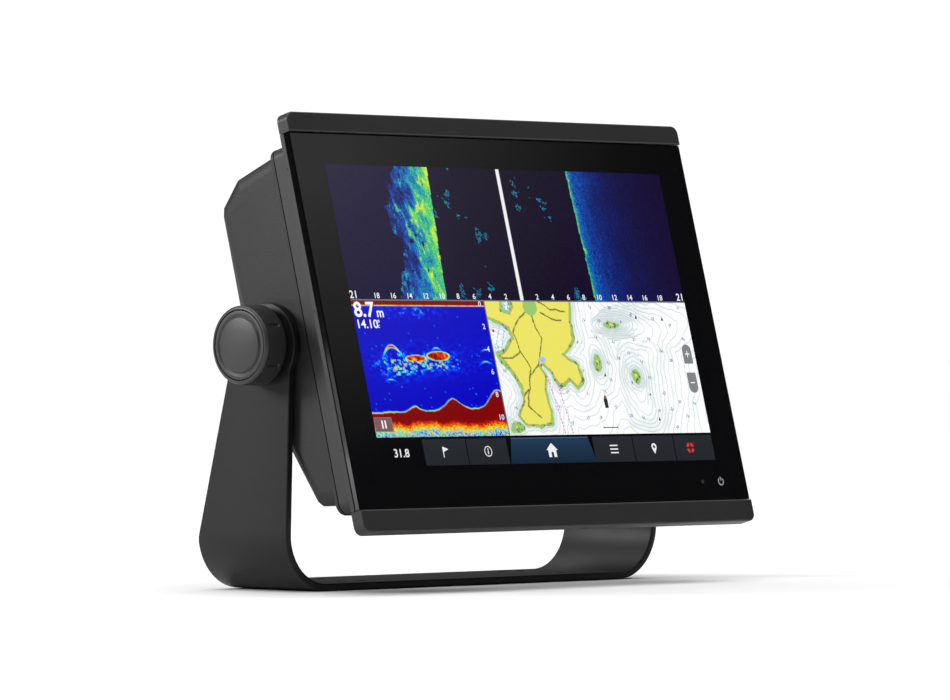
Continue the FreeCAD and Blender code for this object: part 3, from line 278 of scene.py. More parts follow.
class NodeKit:
    """Adds nodes to one node tree."""

    def __init__(self, tree: bpy.types.NodeTree) -> None:
        """Keeps the tree that the nodes go in."""
        self.tree = tree

    def node(self, kind: str, settings: dict, inputs: dict) -> bpy.types.Node:
        """Adds a node, sets its settings first, then fills or links its sockets.

        Args:
            kind: the node's type.
            settings: attribute values; "stops" holds a ramp's (place, colour) pairs.
            inputs: a value, a socket or a Shade for each socket, by name or number.

        Returns:
            The node.
        """
        made = self.tree.nodes.new(kind)
        for key, value in settings.items():
            if key == "stops":
                ramp = made.color_ramp
                while len(ramp.elements) < len(value):
                    ramp.elements.new(0.5)
                for element, (where, colour) in zip(ramp.elements, value):
                    element.position = where
                    element.color = (*colour, 1.0)
            else:
                setattr(made, key, value)
        for key, value in inputs.items():
            self.fill(made.inputs[key], value)
        return made

    def fill(self, socket: bpy.types.NodeSocket, value: object) -> None:
        """Links a socket to another socket or a Shade, or sets it to a value."""
        if isinstance(value, Shade):
            self.tree.links.new(value.socket, socket)
        elif isinstance(value, bpy.types.NodeSocket):
            self.tree.links.new(value, socket)
        else:
            socket.default_value = value

    def maths(self, operation: str, first: object, second: object) -> Shade:
        """A Math node on two numbers."""
        made = self.node("ShaderNodeMath", {"operation": operation}, {0: first, 1: second})
        return Shade(self, made.outputs[0])

    def span(self, value: object, low: float, high: float, start: float, end: float) -> Shade:
        """Maps a value smoothly from one span to another, clipped at both ends."""
        made = self.node("ShaderNodeMapRange", {"interpolation_type": "SMOOTHSTEP"},
                         {"Value": value, "From Min": low, "From Max": high, "To Min": start, "To Max": end})
        return Shade(self, made.outputs["Result"])

    def blend(self, mask: Shade, low: Sequence[float], high: Sequence[float]) -> bpy.types.NodeSocket:
        """A colour between two colours, by a mask from 0 to 1."""
        made = self.node("ShaderNodeMix", {"data_type": "RGBA"},
                         {0: mask.clipped(), 6: (*low, 1.0), 7: (*high, 1.0)})
        return made.outputs[2]

    def camera_ray(self) -> Shade:
        """1 where the eye looks straight at a surface, 0 where a surface sees it by bounced light."""
        return Shade(self, self.node("ShaderNodeLightPath", {}, {}).outputs["Is Camera Ray"])


class MaterialKit(NodeKit):
    """Builds one material's nodes round its Principled shader."""

    def __init__(self, name: str) -> None:
        """Starts a finish's material; its name has a start that no slot has."""
        self.material = bpy.data.materials.new(FINISH_START + name)
        self.material.use_nodes = True
        super().__init__(self.material.node_tree)
        self.shader = self.tree.nodes["Principled BSDF"]
        self.place = self.node("ShaderNodeTexCoord", {}, {}).outputs["Object"]

    def noise(self, scale: float, detail: float = 2.0, stretch: Sequence[float] = (1, 1, 1)) -> Shade:
        """Noise over the piece's own space, scale in waves for each metre, centred on 0."""
        place = self.node("ShaderNodeMapping", {}, {"Vector": self.place, "Scale": tuple(stretch)})
        made = self.node("ShaderNodeTexNoise", {}, {"Vector": place.outputs[0], "Scale": scale,
                                                    "Detail": detail, "Roughness": 0.6})
        return Shade(self, made.outputs["Fac"]) - 0.5

    def speckle(self, scale: float) -> Shade:
        """Cell noise: the distance to the nearest of scattered points, scale in cells for each metre."""
        made = self.node("ShaderNodeTexVoronoi", {}, {"Vector": self.place, "Scale": scale})
        return Shade(self, made.outputs["Distance"])

    def bump(self, height: Shade, depth: float) -> None:
        """Raises the surface by a height from 0 to 1 times a depth in metres."""
        made = self.node("ShaderNodeBump", {}, {"Height": height, "Distance": depth, "Strength": 1.0})
        self.tree.links.new(made.outputs["Normal"], self.shader.inputs["Normal"])

    def set(self, **sockets: object) -> None:
        """Fills the Principled shader's sockets; underscores in a name stand for spaces."""
        for key, value in sockets.items():
            self.fill(self.shader.inputs[key.replace("_", " ")], value)


@dataclass(frozen=True)
class GrainedSurface:
    """A moulded plastic or powder-coated face: mottled colour, uneven gloss and a fine raised grain."""

    name: str
    colour: Colour
    roughness: float = 0.5
    metallic: float = 0.0
    mottle: float = 0.16
    grain: float = 1500.0
    grain_depth: float = 0.00004
    gloss_change: float = 0.12
    coat: float = 0.0
    shine: float = 0.34

    def material(self) -> bpy.types.Material:
        """The colour moves with broad noise, and two sizes of fine noise make the grain."""
        kit = MaterialKit(self.name)
        base = linear(self.colour)
        broad, fine = kit.noise(22, 3), kit.noise(self.grain, 3)
        cells = kit.speckle(self.grain * 0.7)
        mask = 0.5 + broad * 0.8 + fine * 0.6
        kit.set(Base_Color=kit.blend(mask, base * (1 - self.mottle), base * (1 + self.mottle)),
                Roughness=(self.roughness + broad * self.gloss_change + fine * self.gloss_change).clipped(),
                Metallic=self.metallic, Coat_Weight=self.coat, Coat_Roughness=0.3,
                Specular_IOR_Level=self.shine)
        kit.bump(fine * 0.6 + cells * 0.5, self.grain_depth)
        return kit.material


@dataclass(frozen=True)
class PolishedGlass:
    """Black cover glass: a deep printed back under a polished face with faint wiping marks."""

    name: str
    colour: Colour
    roughness: float = 0.05

    def material(self) -> bpy.types.Material:
        """Roughness rises a little along soft streaks, and the printed black has a trace of mottling."""
        kit = MaterialKit(self.name)
        streaks = kit.noise(14, 4, (1.0, 1.0, 3.5))
        base = linear(self.colour)
        kit.set(Base_Color=kit.blend(0.5 + kit.noise(900, 2), base * 0.85, base * 1.15),
                Roughness=(self.roughness + streaks * 0.05).clipped(), Coat_Weight=0.3, Coat_Roughness=0.03)
        return kit.material


@dataclass(frozen=True)
class MachinedMetal:
    """Turned, drawn or plated metal with fine tool lines."""

    name: str
    colour: Colour
    roughness: float = 0.28
    stretch: tuple[float, float, float] = (6.0, 1.0, 1.0)
    lines: float = 900.0

    def material(self) -> bpy.types.Material:
        """Stretched noise makes the lines, which change both the gloss and the height."""
        kit = MaterialKit(self.name)
        lines = kit.noise(self.lines, 2, self.stretch)
        base = linear(self.colour)
        kit.set(Base_Color=kit.blend(0.5 + kit.noise(60, 3), base * 0.86, base), Metallic=1.0,
                Roughness=(self.roughness + lines * 0.22).clipped())
        kit.bump(lines, 0.00001)
        return kit.material


@dataclass(frozen=True)
class LitPicture:
    """The lit picture under the cover glass: its colour attribute is light, and its face is glass."""

    name: str
    attribute: str = "picture"
    strength: float = 1.07

    def material(self) -> bpy.types.Material:
        """The attribute feeds the emission colour, and the face keeps the glass's gloss."""
        kit = MaterialKit(self.name)
        lit = kit.node("ShaderNodeAttribute", {"attribute_name": self.attribute}, {}).outputs["Color"]
        streaks = kit.noise(14, 4, (1.0, 1.0, 3.5))
        kit.set(Base_Color=(0.0015, 0.0015, 0.002, 1.0), Emission_Color=lit, Emission_Strength=self.strength,
                Roughness=(0.05 + streaks * 0.05).clipped(), Coat_Weight=0.3, Coat_Roughness=0.03)
        return kit.material


class Finish(Enum):
    """The finishes of this display, each a maker of one material."""

    BRACKET = GrainedSurface("bracket_powder_coat", (21, 21, 22), 0.44, 0.0, 0.14, 1100.0, 0.00004,
                             shine=0.26)
    HOUSING = GrainedSurface("housing_plastic", (46, 46, 47), 0.44)
    TRIM = GrainedSurface("trim_plastic", (40, 40, 41), 0.4, 0.0, 0.12, 1900.0, 0.00002)
    CASTING = GrainedSurface("rear_powder_coat", (32, 32, 33), 0.46, 0.0, 0.18, 900.0, 0.00005, shine=0.3)
    KNOB = GrainedSurface("knob_plastic", (40, 40, 41), 0.40, 0.0, 0.12, 1700.0, 0.00003, shine=0.44)
    RUBBER = GrainedSurface("gasket_rubber", (24, 24, 25), 0.72, 0.0, 0.2, 1300.0, 0.00003)
    INSULATOR = GrainedSurface("socket_insulator", (34, 34, 36), 0.55, 0.0, 0.12, 1500.0, 0.00003)
    ANODISED = GrainedSurface("black_anodised", (56, 57, 60), 0.34, 0.85, 0.15, 2000.0, 0.00001)
    COMPONENT = GrainedSurface("moulded_component", (38, 38, 40), 0.6)
    BOARD = GrainedSurface("solder_mask", (24, 92, 52), 0.35, 0.0, 0.2, 700.0, 0.00002, 0.1, 0.4)
    CERAMIC = GrainedSurface("antenna_ceramic", (214, 208, 192), 0.5)
    FILM = GrainedSurface("clear_film", (110, 110, 116), 0.2, 0.0, 0.05, 500.0, 0.000005)
    NYLON = GrainedSurface("friction_nylon", (74, 74, 77), 0.42, 0.0, 0.1, 1200.0, 0.00002)
    INK = GrainedSurface("printed_mark", (196, 198, 202), 0.4, 0.0, 0.05, 2500.0, 0.000004)
    GLASS = PolishedGlass("black_cover_glass", (9, 9, 11))
    STEEL = MachinedMetal("stainless_steel", (190, 190, 192))
    PLATE = MachinedMetal("zinc_plate", (168, 170, 174), 0.4, (1.0, 1.0, 5.0), 500.0)
    GOLD = MachinedMetal("gold_contact", (222, 180, 96), 0.22)
    COPPER = MachinedMetal("enamelled_wire", (186, 104, 58), 0.3, (1.0, 8.0, 1.0), 700.0)
    ALUMINIUM = MachinedMetal("milled_aluminium", (204, 206, 208), 0.34)
    LIT = LitPicture("lit_screen")

    @property
    def made(self) -> bpy.types.Material:
        """The finish's material, made once."""
        known = bpy.data.materials.get(FINISH_START + self.value.name)
        return known or self.value.material()


# ---------------------------------------------------------------- the display's own axes

class GlassAxes:
    """Millimetres across, up and out of the cover glass, from the middle of the lit screen."""

    def __init__(self) -> None:
        """Finds the glass plate's width, height and thickness as its corners' main directions."""
        corners = self.points("front_glass")
        _, _, directions = np.linalg.svd(corners - corners.mean(0), full_matrices=False)
        self.up = directions[1] * np.sign(directions[1][2])
        self.out = directions[2] * -np.sign(directions[2][1])
        cell = self.points("lcd_cell")
        self.origin = np.zeros(3)
        self.origin += self.up * (cell @ self.up).mean() + self.out * (corners @ self.out).max()
        span = np.ptp(cell, axis=0)[0], np.ptp(cell @ self.up)
        self.half_width = span[0] / 2 / MM - 4.0
        self.half_height = span[1] / 2 / MM - 4.0
        self.glass_half = float(np.ptp(corners, axis=0)[0] / 2 / MM)
        self.glass_top = float(((corners - self.origin) @ self.up).max() / MM)
        self.glass_bottom = float(((corners - self.origin) @ self.up).min() / MM)

    @staticmethod
    def points(node: str) -> Array:
        """A CAD node's corners, in metres."""
        mesh = frame["nodes"][node].data
        places = np.empty(len(mesh.vertices) * 3)
        mesh.vertices.foreach_get("co", places)
        return places.reshape(-1, 3)

    def place(self, x: Array, u: Array, out: Array | float) -> Array:
        """Points in metres from millimetres across, up and out of the glass.

        Args:
            x: millimetres across, rightwards.
            u: millimetres up the glass.
            out: millimetres out of the glass.

        Returns:
            (..., 3) places in the shared frame.
        """
        x, u, out = np.broadcast_arrays(np.asarray(x, float), u, out)
        across = x[..., None] * np.array((1.0, 0.0, 0.0))
        return self.origin + MM * (across + u[..., None] * self.up + out[..., None] * self.out)


def paint(piece: bpy.types.Object, colours: Array) -> None:
    """Stores a display colour for each point of a piece, as the attribute that LitPicture reads."""
    layer = piece.data.color_attributes.new("picture", "FLOAT_COLOR", "POINT")
    values = np.ones((len(piece.data.vertices), 4))
    values[:, :3] = linear(colours.reshape(-1, 3))
    layer.data.foreach_set("color", values.ravel())


@dataclass
class PictureArea:
    """A rectangle of the lit screen, in millimetres from its middle, with one colour for each small cell."""

    name: str
    left: float
    right: float
    low: float
    high: float
    cell: float = 0.5

    def grid(self) -> tuple[Array, Array]:
        """x and u of every point: even steps both ways that end on the rectangle's edges."""
        columns = round((self.right - self.left) / self.cell) + 1
        rows = round((self.high - self.low) / self.cell) + 1
        return np.meshgrid(np.linspace(self.left, self.right, columns),
                           np.linspace(self.low, self.high, rows))

    def show(self, axes: GlassAxes, colours: Array, out: float = 0.05) -> bpy.types.Object:
        """Makes the flat grid just in front of the glass and paints it.

        Args:
            axes: the glass's axes.
            colours: rows by columns by 3 display colours.
            out: how far in front of the glass it lies, in millimetres.

        Returns:
            The piece.
        """
        x, u = self.grid()
        faces = grid_faces(*x.shape)[:, ::-1]
        piece = new_piece(self.name, axes.place(x, u, out).reshape(-1, 3), faces)
        paint(piece, colours)
        return settle(piece, "display", Finish.LIT.made)


def segment_distance(x: Array, u: Array, start: Point, end: Point) -> Array:
    """Distance of every point from a segment: the nearest place along it is clipped to its ends."""
    ax, au = start
    dx, du = end[0] - ax, end[1] - au
    along = np.clip(((x - ax) * dx + (u - au) * du) / (dx * dx + du * du), 0, 1)
    return np.hypot(x - ax - along * dx, u - au - along * du)


def line_distance(x: Array, u: Array, corners: Sequence[Point]) -> Array:
    """The distance of every point from an open line of straight segments."""
    return np.minimum.reduce([segment_distance(x, u, a, b) for a, b in zip(corners, corners[1:])])


def inside(x: Array, u: Array, corners: Sequence[Point]) -> Array:
    """Whether every point is inside a closed outline, by how often a ray to the right crosses it."""
    result = np.zeros(x.shape, bool)
    for (ax, au), (bx, bu) in zip(corners, [*corners[1:], corners[0]]):
        if au != bu:
            spans = (u >= min(au, bu)) & (u < max(au, bu))
            result ^= spans & (x < ax + (u - au) * (bx - ax) / (bu - au))
    return result


# ---------------------------------------------------------------- flat signs: digits and icons

@dataclass
class SignSheet:
    """Flat coloured shapes on the lit screen, gathered into one piece."""

    name: str
    out: float = 0.12
    points: list = field(default_factory=list)
    faces: list = field(default_factory=list)
    colours: list = field(default_factory=list)

    def shape(self, outline: Array, colour: Colour) -> None:
        """Adds one closed outline of (x, u) points, as a single face."""
        outline = np.asarray(outline, float)
        nearby = np.roll(outline, -1, axis=0)
        area = (outline[:, 0] * nearby[:, 1] - nearby[:, 0] * outline[:, 1]).sum()
        if area < 0:
            outline = outline[::-1]
        first = len(self.points)
        self.points += outline.tolist()
        self.colours += [colour] * len(outline)
        self.faces.append(tuple(range(first, first + len(outline))))

    def bar(self, left: float, right: float, low: float, high: float, colour: Colour) -> None:
        """Adds an upright rectangle."""
        self.shape(np.array([(left, low), (right, low), (right, high), (left, high)]), colour)

    def disc(self, x: float, u: float, radius: float, colour: Colour, count: int = 20) -> None:
        """Adds a disc: points at even turns round a circle."""
        turn = np.linspace(0, 2 * math.pi, count, endpoint=False)
        self.shape(np.column_stack((x + radius * np.cos(turn), u + radius * np.sin(turn))), colour)

    def arc(self, x: float, u: float, inner: float, outer: float, start: float, end: float,
            colour: Colour, count: int = 24) -> None:
        """Adds a bent band between two radii, from one turn in degrees to another."""
        turn = np.radians(np.linspace(start, end, count))
        ring = np.column_stack((np.cos(turn), np.sin(turn)))
        self.points += (np.array((x, u)) + ring * outer).tolist() + (np.array((x, u)) + ring * inner).tolist()
        self.colours += [colour] * (2 * count)
        first = len(self.points) - 2 * count
        for i in range(count - 1):
            self.faces.append((first + i, first + i + 1, first + count + i + 1, first + count + i))

    def rounded(self, left: float, right: float, low: float, high: float, radii: Sequence[float],
                colour: Colour) -> None:
        """Adds a rectangle with quarter-circle corners: lower left, lower right, upper right, upper left."""
        turn = np.radians(np.linspace(0, 90, 7))
        places = ((left, low, 1, 1, 180), (right, low, -1, 1, 270), (right, high, -1, -1, 0),
                  (left, high, 1, -1, 90))
        outline = []
        for (cx, cu, sx, su, begin), radius in zip(places, radii):
            angle = turn + math.radians(begin)
            outline.append(np.column_stack((cx + sx * radius + radius * np.cos(angle),
                                            cu + su * radius + radius * np.sin(angle))))
        self.shape(np.concatenate(outline), colour)

    def text(self, words: str, x: float, u: float, height: float, colour: Colour, centred: bool = True,
             narrow: float = 1.08, turn: float = 0.0, heavy: float = 0.012) -> None:
        """Adds a number as flat faces: filled outlines, scaled to a height and a share of their own width.

        Args:
            words: the digits.
            x: where it stands across, its middle or its left end.
            u: the foot of its digits.
            height: the digits' height.
            colour: its colour.
            centred: whether x is the middle.
            narrow: the width as a share of the letters' own.
            turn: how far it leans from level, in degrees.
            heavy: how far the strokes grow, as a share of the letters' size.
        """
        curve = bpy.data.curves.new(self.name + "_text", "FONT")
        curve.body = words
        curve.resolution_u = 3
        curve.offset = heavy
        curve.align_x = "CENTER" if centred else "LEFT"
        holder = bpy.data.objects.new(self.name + "_text", curve)
        bpy.context.scene.collection.objects.link(holder)
        bpy.context.view_layer.update()
        mesh = bpy.data.meshes.new_from_object(holder.evaluated_get(bpy.context.evaluated_depsgraph_get()))
        flat = np.empty(len(mesh.vertices) * 3)
        mesh.vertices.foreach_get("co", flat)
        capital = 0.73
        flat = flat.reshape(-1, 3)[:, :2] * (height / capital) * np.array((narrow, 1.0))
        angle = math.radians(turn)
        flat = flat @ np.array(((math.cos(angle), math.sin(angle)), (-math.sin(angle), math.cos(angle))))
        first = len(self.points)
        self.points += (flat + (x, u)).tolist()
        self.colours += [colour] * len(flat)
        for face in mesh.polygons:
            corners = tuple(first + v for v in face.vertices)
            self.faces.append(corners if face.normal.z > 0 else corners[::-1])
        bpy.data.objects.remove(holder)
        bpy.data.meshes.remove(mesh)
        bpy.data.curves.remove(curve)

    def show(self, axes: GlassAxes, finish: Finish = Finish.LIT, slot: str = "screen") -> bpy.types.Object:
        """Places every shape in front of the glass as one piece."""
        flat = np.array(self.points)
        piece = new_piece(self.name, axes.place(flat[:, 0], flat[:, 1], self.out), self.faces)
        paint(piece, np.array(self.colours, float))
        return settle(piece, "display", finish.made)


# ---------------------------------------------------------------- what the screen shows

@dataclass
class SideScanPanel:
    """The upper picture: sea floor echoes either side of a white line, with a distance scale."""

    area: PictureArea
    edge_top: float = 54.2
    edge_bottom: float = 58.2
    line_half: float = 1.05
    scale_step: float = 6.15
    white: Colour = (236, 236, 240)
    ramp: tuple = ((0.0, (5, 1, 12)), (0.12, (22, 9, 46)), (0.3, (15, 30, 104)), (0.5, (16, 84, 182)),
                   (0.66, (24, 156, 168)), (0.8, (72, 200, 104)), (1.0, (214, 230, 62)))

    def echoes(self, x: Array, u: Array) -> Array:
        """Echo strength: dark in the water between the first edges, strong just past them, fading outwards.

        Args:
            x: millimetres across.
            u: millimetres up.

        Returns:
            Strength from 0 to 1.
        """
        rng = np.random.default_rng(41)
        rise = (self.area.high - u) / (self.area.high - self.area.low)
        edge = self.edge_top + (self.edge_bottom - self.edge_top) * rise + 0.5 * cloud(x * 0, u, 9, 3, 2)
        grain = rng.normal(0, 1, x.shape)
        streak = cloud(x * 0.9 + u * 0.25, u * 0.35, 2.6, 4, 5)
        fold = cloud(x, u, 13, 4, 8)

        past_left = -x - edge
        reach = 30 + 9 * cloud(x * 0, u, 26, 4, 11) + 4 * np.sin(u * 0.13) + 3 * cloud(x, u, 5, 2, 15)
        share = np.clip(past_left / reach, 0, 1)
        left = 0.93 - 0.62 * share ** 0.8 + 0.32 * streak + 0.16 * fold + 0.07 * grain
        left = np.where(past_left > reach, 0.13 + 0.025 * grain, left)
        veins = np.abs(cloud(x, u * 0.4, 7, 4, 19))
        left += np.where((past_left > 6) & (past_left < reach) & (veins < 0.045), 0.2, 0)

        past_right = x - edge
        fade = np.exp(-np.clip(past_right, 0, None) / 26.0)
        right = 0.1 + 0.42 * fade + 0.08 * streak * fade + 0.045 * grain * (0.5 + fade) + 0.07 * fold * fade
        right += 0.34 * np.exp(-np.clip(past_right, 0, None) / 1.1)
        spots = cloud(x, u, 4.5, 2, 23)
        near = np.clip(past_right, 0, 40)
        right += np.where((near > 0.5) & (near < 9) & (spots > 0.52), 0.22, 0)
        right = np.where((near > 3) & (near < 14) & (spots < -0.66), 0.06, right)

        water = 0.07 + 0.035 * np.clip(np.abs(x) / edge, 0, 1) ** 3 + 0.02 * grain
        shoal = cloud(x, u, 11, 2, 29) + 0.4 * cloud(x, u, 3, 2, 31)
        fish = (shoal > 0.62) & (grain > 0.35) & (np.abs(x) > 8)
        water = np.where(fish, 0.52 + 0.08 * grain, water)
        value = np.where(past_left > 0, left, np.where(past_right > 0, right, water))
        holes = (cloud(x, u, 4, 1, 37) < -0.86) & (past_left > 3) & (past_left < reach - 3)
        return np.clip(np.where(holes, 0.12, value), 0, 1)

    def build(self, axes: GlassAxes) -> None:
        """Paints the echoes, then adds the white line and the numbers of the scale."""
        x, u = self.area.grid()
        colours = colour_map(self.ramp, self.echoes(x, u))
        colours[np.abs(x) < self.line_half] = self.white
        self.area.show(axes, colours)
        signs = SignSheet("sidescan_scale")
        foot = self.area.low + 0.9
        for side in (-1, 1):
            for distance in range(2, 20, 2):
                signs.text(str(distance), side * distance * self.scale_step, foot, 3.1, self.white)
            signs.text("21", side * 20.75 * self.scale_step, foot, 4.2, self.white)
        signs.show(axes)


@dataclass
class SonarPanel:
    """The lower left picture: the water under the boat over time, its sea floor, shoals and readings."""

    area: PictureArea
    white: Colour = (246, 246, 250)
    ramp: tuple = ((0.0, (0, 0, 188)), (0.2, (0, 60, 255)), (0.36, (0, 200, 255)), (0.5, (120, 255, 130)),
                   (0.64, (255, 214, 0)), (0.8, (240, 70, 0)), (0.93, (132, 0, 0)), (1.0, (122, 0, 0)))

    def floor_height(self, x: Array) -> Array:
        """The sea floor: a gentle rise with three rounded humps."""
        rise = -53.6 + 0.022 * (x + 130)
        for middle, height, width in ((-98.0, 2.6, 5.0), (-68.5, 6.2, 7.6), (-33.0, 9.6, 9.5)):
            rise = rise + height * np.exp(-((x - middle) / width) ** 2)
        return rise

    @staticmethod
    def arch(x: Array, u: Array, middle: float, top: float, width: float, drop: float, thick: float
             ) -> Array:
        """A fish arch: strongest on a parabola that falls from its top to either side."""
        curve = top - drop * ((x - middle) / width) ** 2
        along = np.clip(1.15 - np.abs(x - middle) / width, 0, 1)
        return along * np.exp(-((u - curve) / thick) ** 2)

    def strength(self, x: Array, u: Array) -> Array:
        """Echo strength: clear water, arches and shoals, a saturated floor and a noisy second echo.

        Args:
            x: millimetres across.
            u: millimetres up.

        Returns:
            Strength from 0 to 1.
        """
        rng = np.random.default_rng(77)
        grain = rng.uniform(0, 1, x.shape)
        value = np.full(x.shape, 0.0)
        ragged = cloud(x, u, 2.2, 3, 3)
        for arch in ((-107.0, -17.0, 9.0, 8.5, 0.9), (-73.5, -18.0, 5.0, 2.4, 0.5),
                     (-101.0, -31.0, 6.0, 2.2, 0.35), (-112.0, -35.0, 5.0, 1.6, 0.35),
                     (-37.5, -25.5, 6.5, 3.0, 0.4), (-36.0, -19.0, 5.0, 2.0, 0.3)):
            value = np.maximum(value, (0.98 if arch[4] > 0.8 else 0.55) * self.arch(x, u, *arch))
        for middle, low, width, tall in ((-90.0, -23.6, 8.0, 1.7), (-73.0, -22.4, 8.6, 2.6)):
            body = 1.35 - ((x - middle) / width) ** 2 - ((u - low) / tall) ** 2
            value = np.maximum(value, np.clip(body * 1.5, 0, 1) * (0.85 + 0.3 * ragged))
        haze = np.exp(-((x + 104) / 13) ** 2 - ((u + 28) / 6) ** 2)
        haze = haze + 1.1 * np.exp(-((x + 76) / 13) ** 2 - ((u + 26.5) / 3.6) ** 2)
        haze = haze + 0.22 * np.exp(-((x + 80) / 46) ** 2 - ((u + 24) / 9) ** 2)
        haze = haze + 0.4 * np.exp(-((x + 88) / 22) ** 2 - ((u - 2.5) / 4) ** 2)
        texture = np.clip(cloud(x, u * 1.7, 1.9, 3, 9) + 0.18, 0, 1)
        value = np.maximum(value, np.clip(haze, 0, 1) * texture * (0.5 + 0.75 * grain) * 1.25)
        value = np.where((grain > 0.9975) & (u < 2), 0.3, value)

        below = self.floor_height(x) + 0.35 * ragged - u
        skin = np.clip(1 + below / (0.7 + 0.9 * np.clip(cloud(x, u, 9, 2, 13) + 0.4, 0, 1)), 0, 1)
        value = np.maximum(value, np.where(below > -1.6, skin * 0.95, 0))
        depth = np.clip((-56.5 + 1.5 * cloud(x, u * 0, 7, 3, 17) - u) / 8.5, 0, 1)
        echo = 1.0 - 0.62 * depth ** 1.2 * (0.45 + 1.1 * grain)
        value = np.where(below > 0.4, np.minimum(0.97, echo), value)
        top = self.area.high - 2.9 + 0.15 * ragged
        value = np.maximum(value, np.clip((u - top + 0.7) / 0.9, 0, 1))
        return np.clip(value, 0, 1)

    def build(self, axes: GlassAxes) -> None:
        """Paints the echoes, then adds the readings, the depth scale and the pause button."""
        x, u = self.area.grid()
        self.area.show(axes, colour_map(self.ramp, self.strength(x, u)))
        left, high = self.area.left, self.area.high
        shadow, signs = SignSheet("sonar_reading_edges", 0.1), SignSheet("sonar_readings", 0.14)
        for sheet, colour, grow in ((shadow, (20, 30, 150), 0.35), (signs, self.white, 0.0)):
            sheet.text("8.7", left + 0.8 + grow, high - 9.1 - grow, 8.3, colour, False, 1.1, heavy=0.02)
            sheet.text("m", left + 17.2 + grow, high - 9.3 - grow, 5.2, colour, False, 1.0, heavy=0.02)
            sheet.text("14.10", left + 0.6 + grow, high - 15.3 - grow, 4.8, colour, False, 1.12)
            sheet.text("c", left + 16.4 + grow, high - 15.2 - grow, 2.4, colour, False, 1.1)
            sheet.arc(left + 17.6 + grow, high - 11.6 - grow, 0.35, 0.75, 0, 360, colour, 16)
        scale_x = self.area.right - 3.4
        for i, depth in enumerate(range(0, 12, 2)):
            foot = high - 3.2 - 12.45 * i
            shadow.text(str(depth), scale_x, foot - 0.2, 3.2, (30, 40, 190))
            signs.text(str(depth), scale_x - 0.2, foot, 3.0, (225, 226, 255))
        low = self.area.low
        shadow.rounded(left + 0.2, left + 13.5, low + 3.0, low + 10.8, (0.5,) * 4, (142, 112, 114))
        signs.rounded(left + 0.6, left + 13.1, low + 3.3, low + 10.5, (0.5,) * 4, (120, 88, 92))
        icon = SignSheet("sonar_pause", 0.18)
        for offset in (5.4, 7.7):
            icon.bar(left + offset, left + offset + 1.1, low + 4.7, low + 9.1, (240, 236, 238))
        for sheet in (shadow, signs, icon):
            sheet.show(axes)


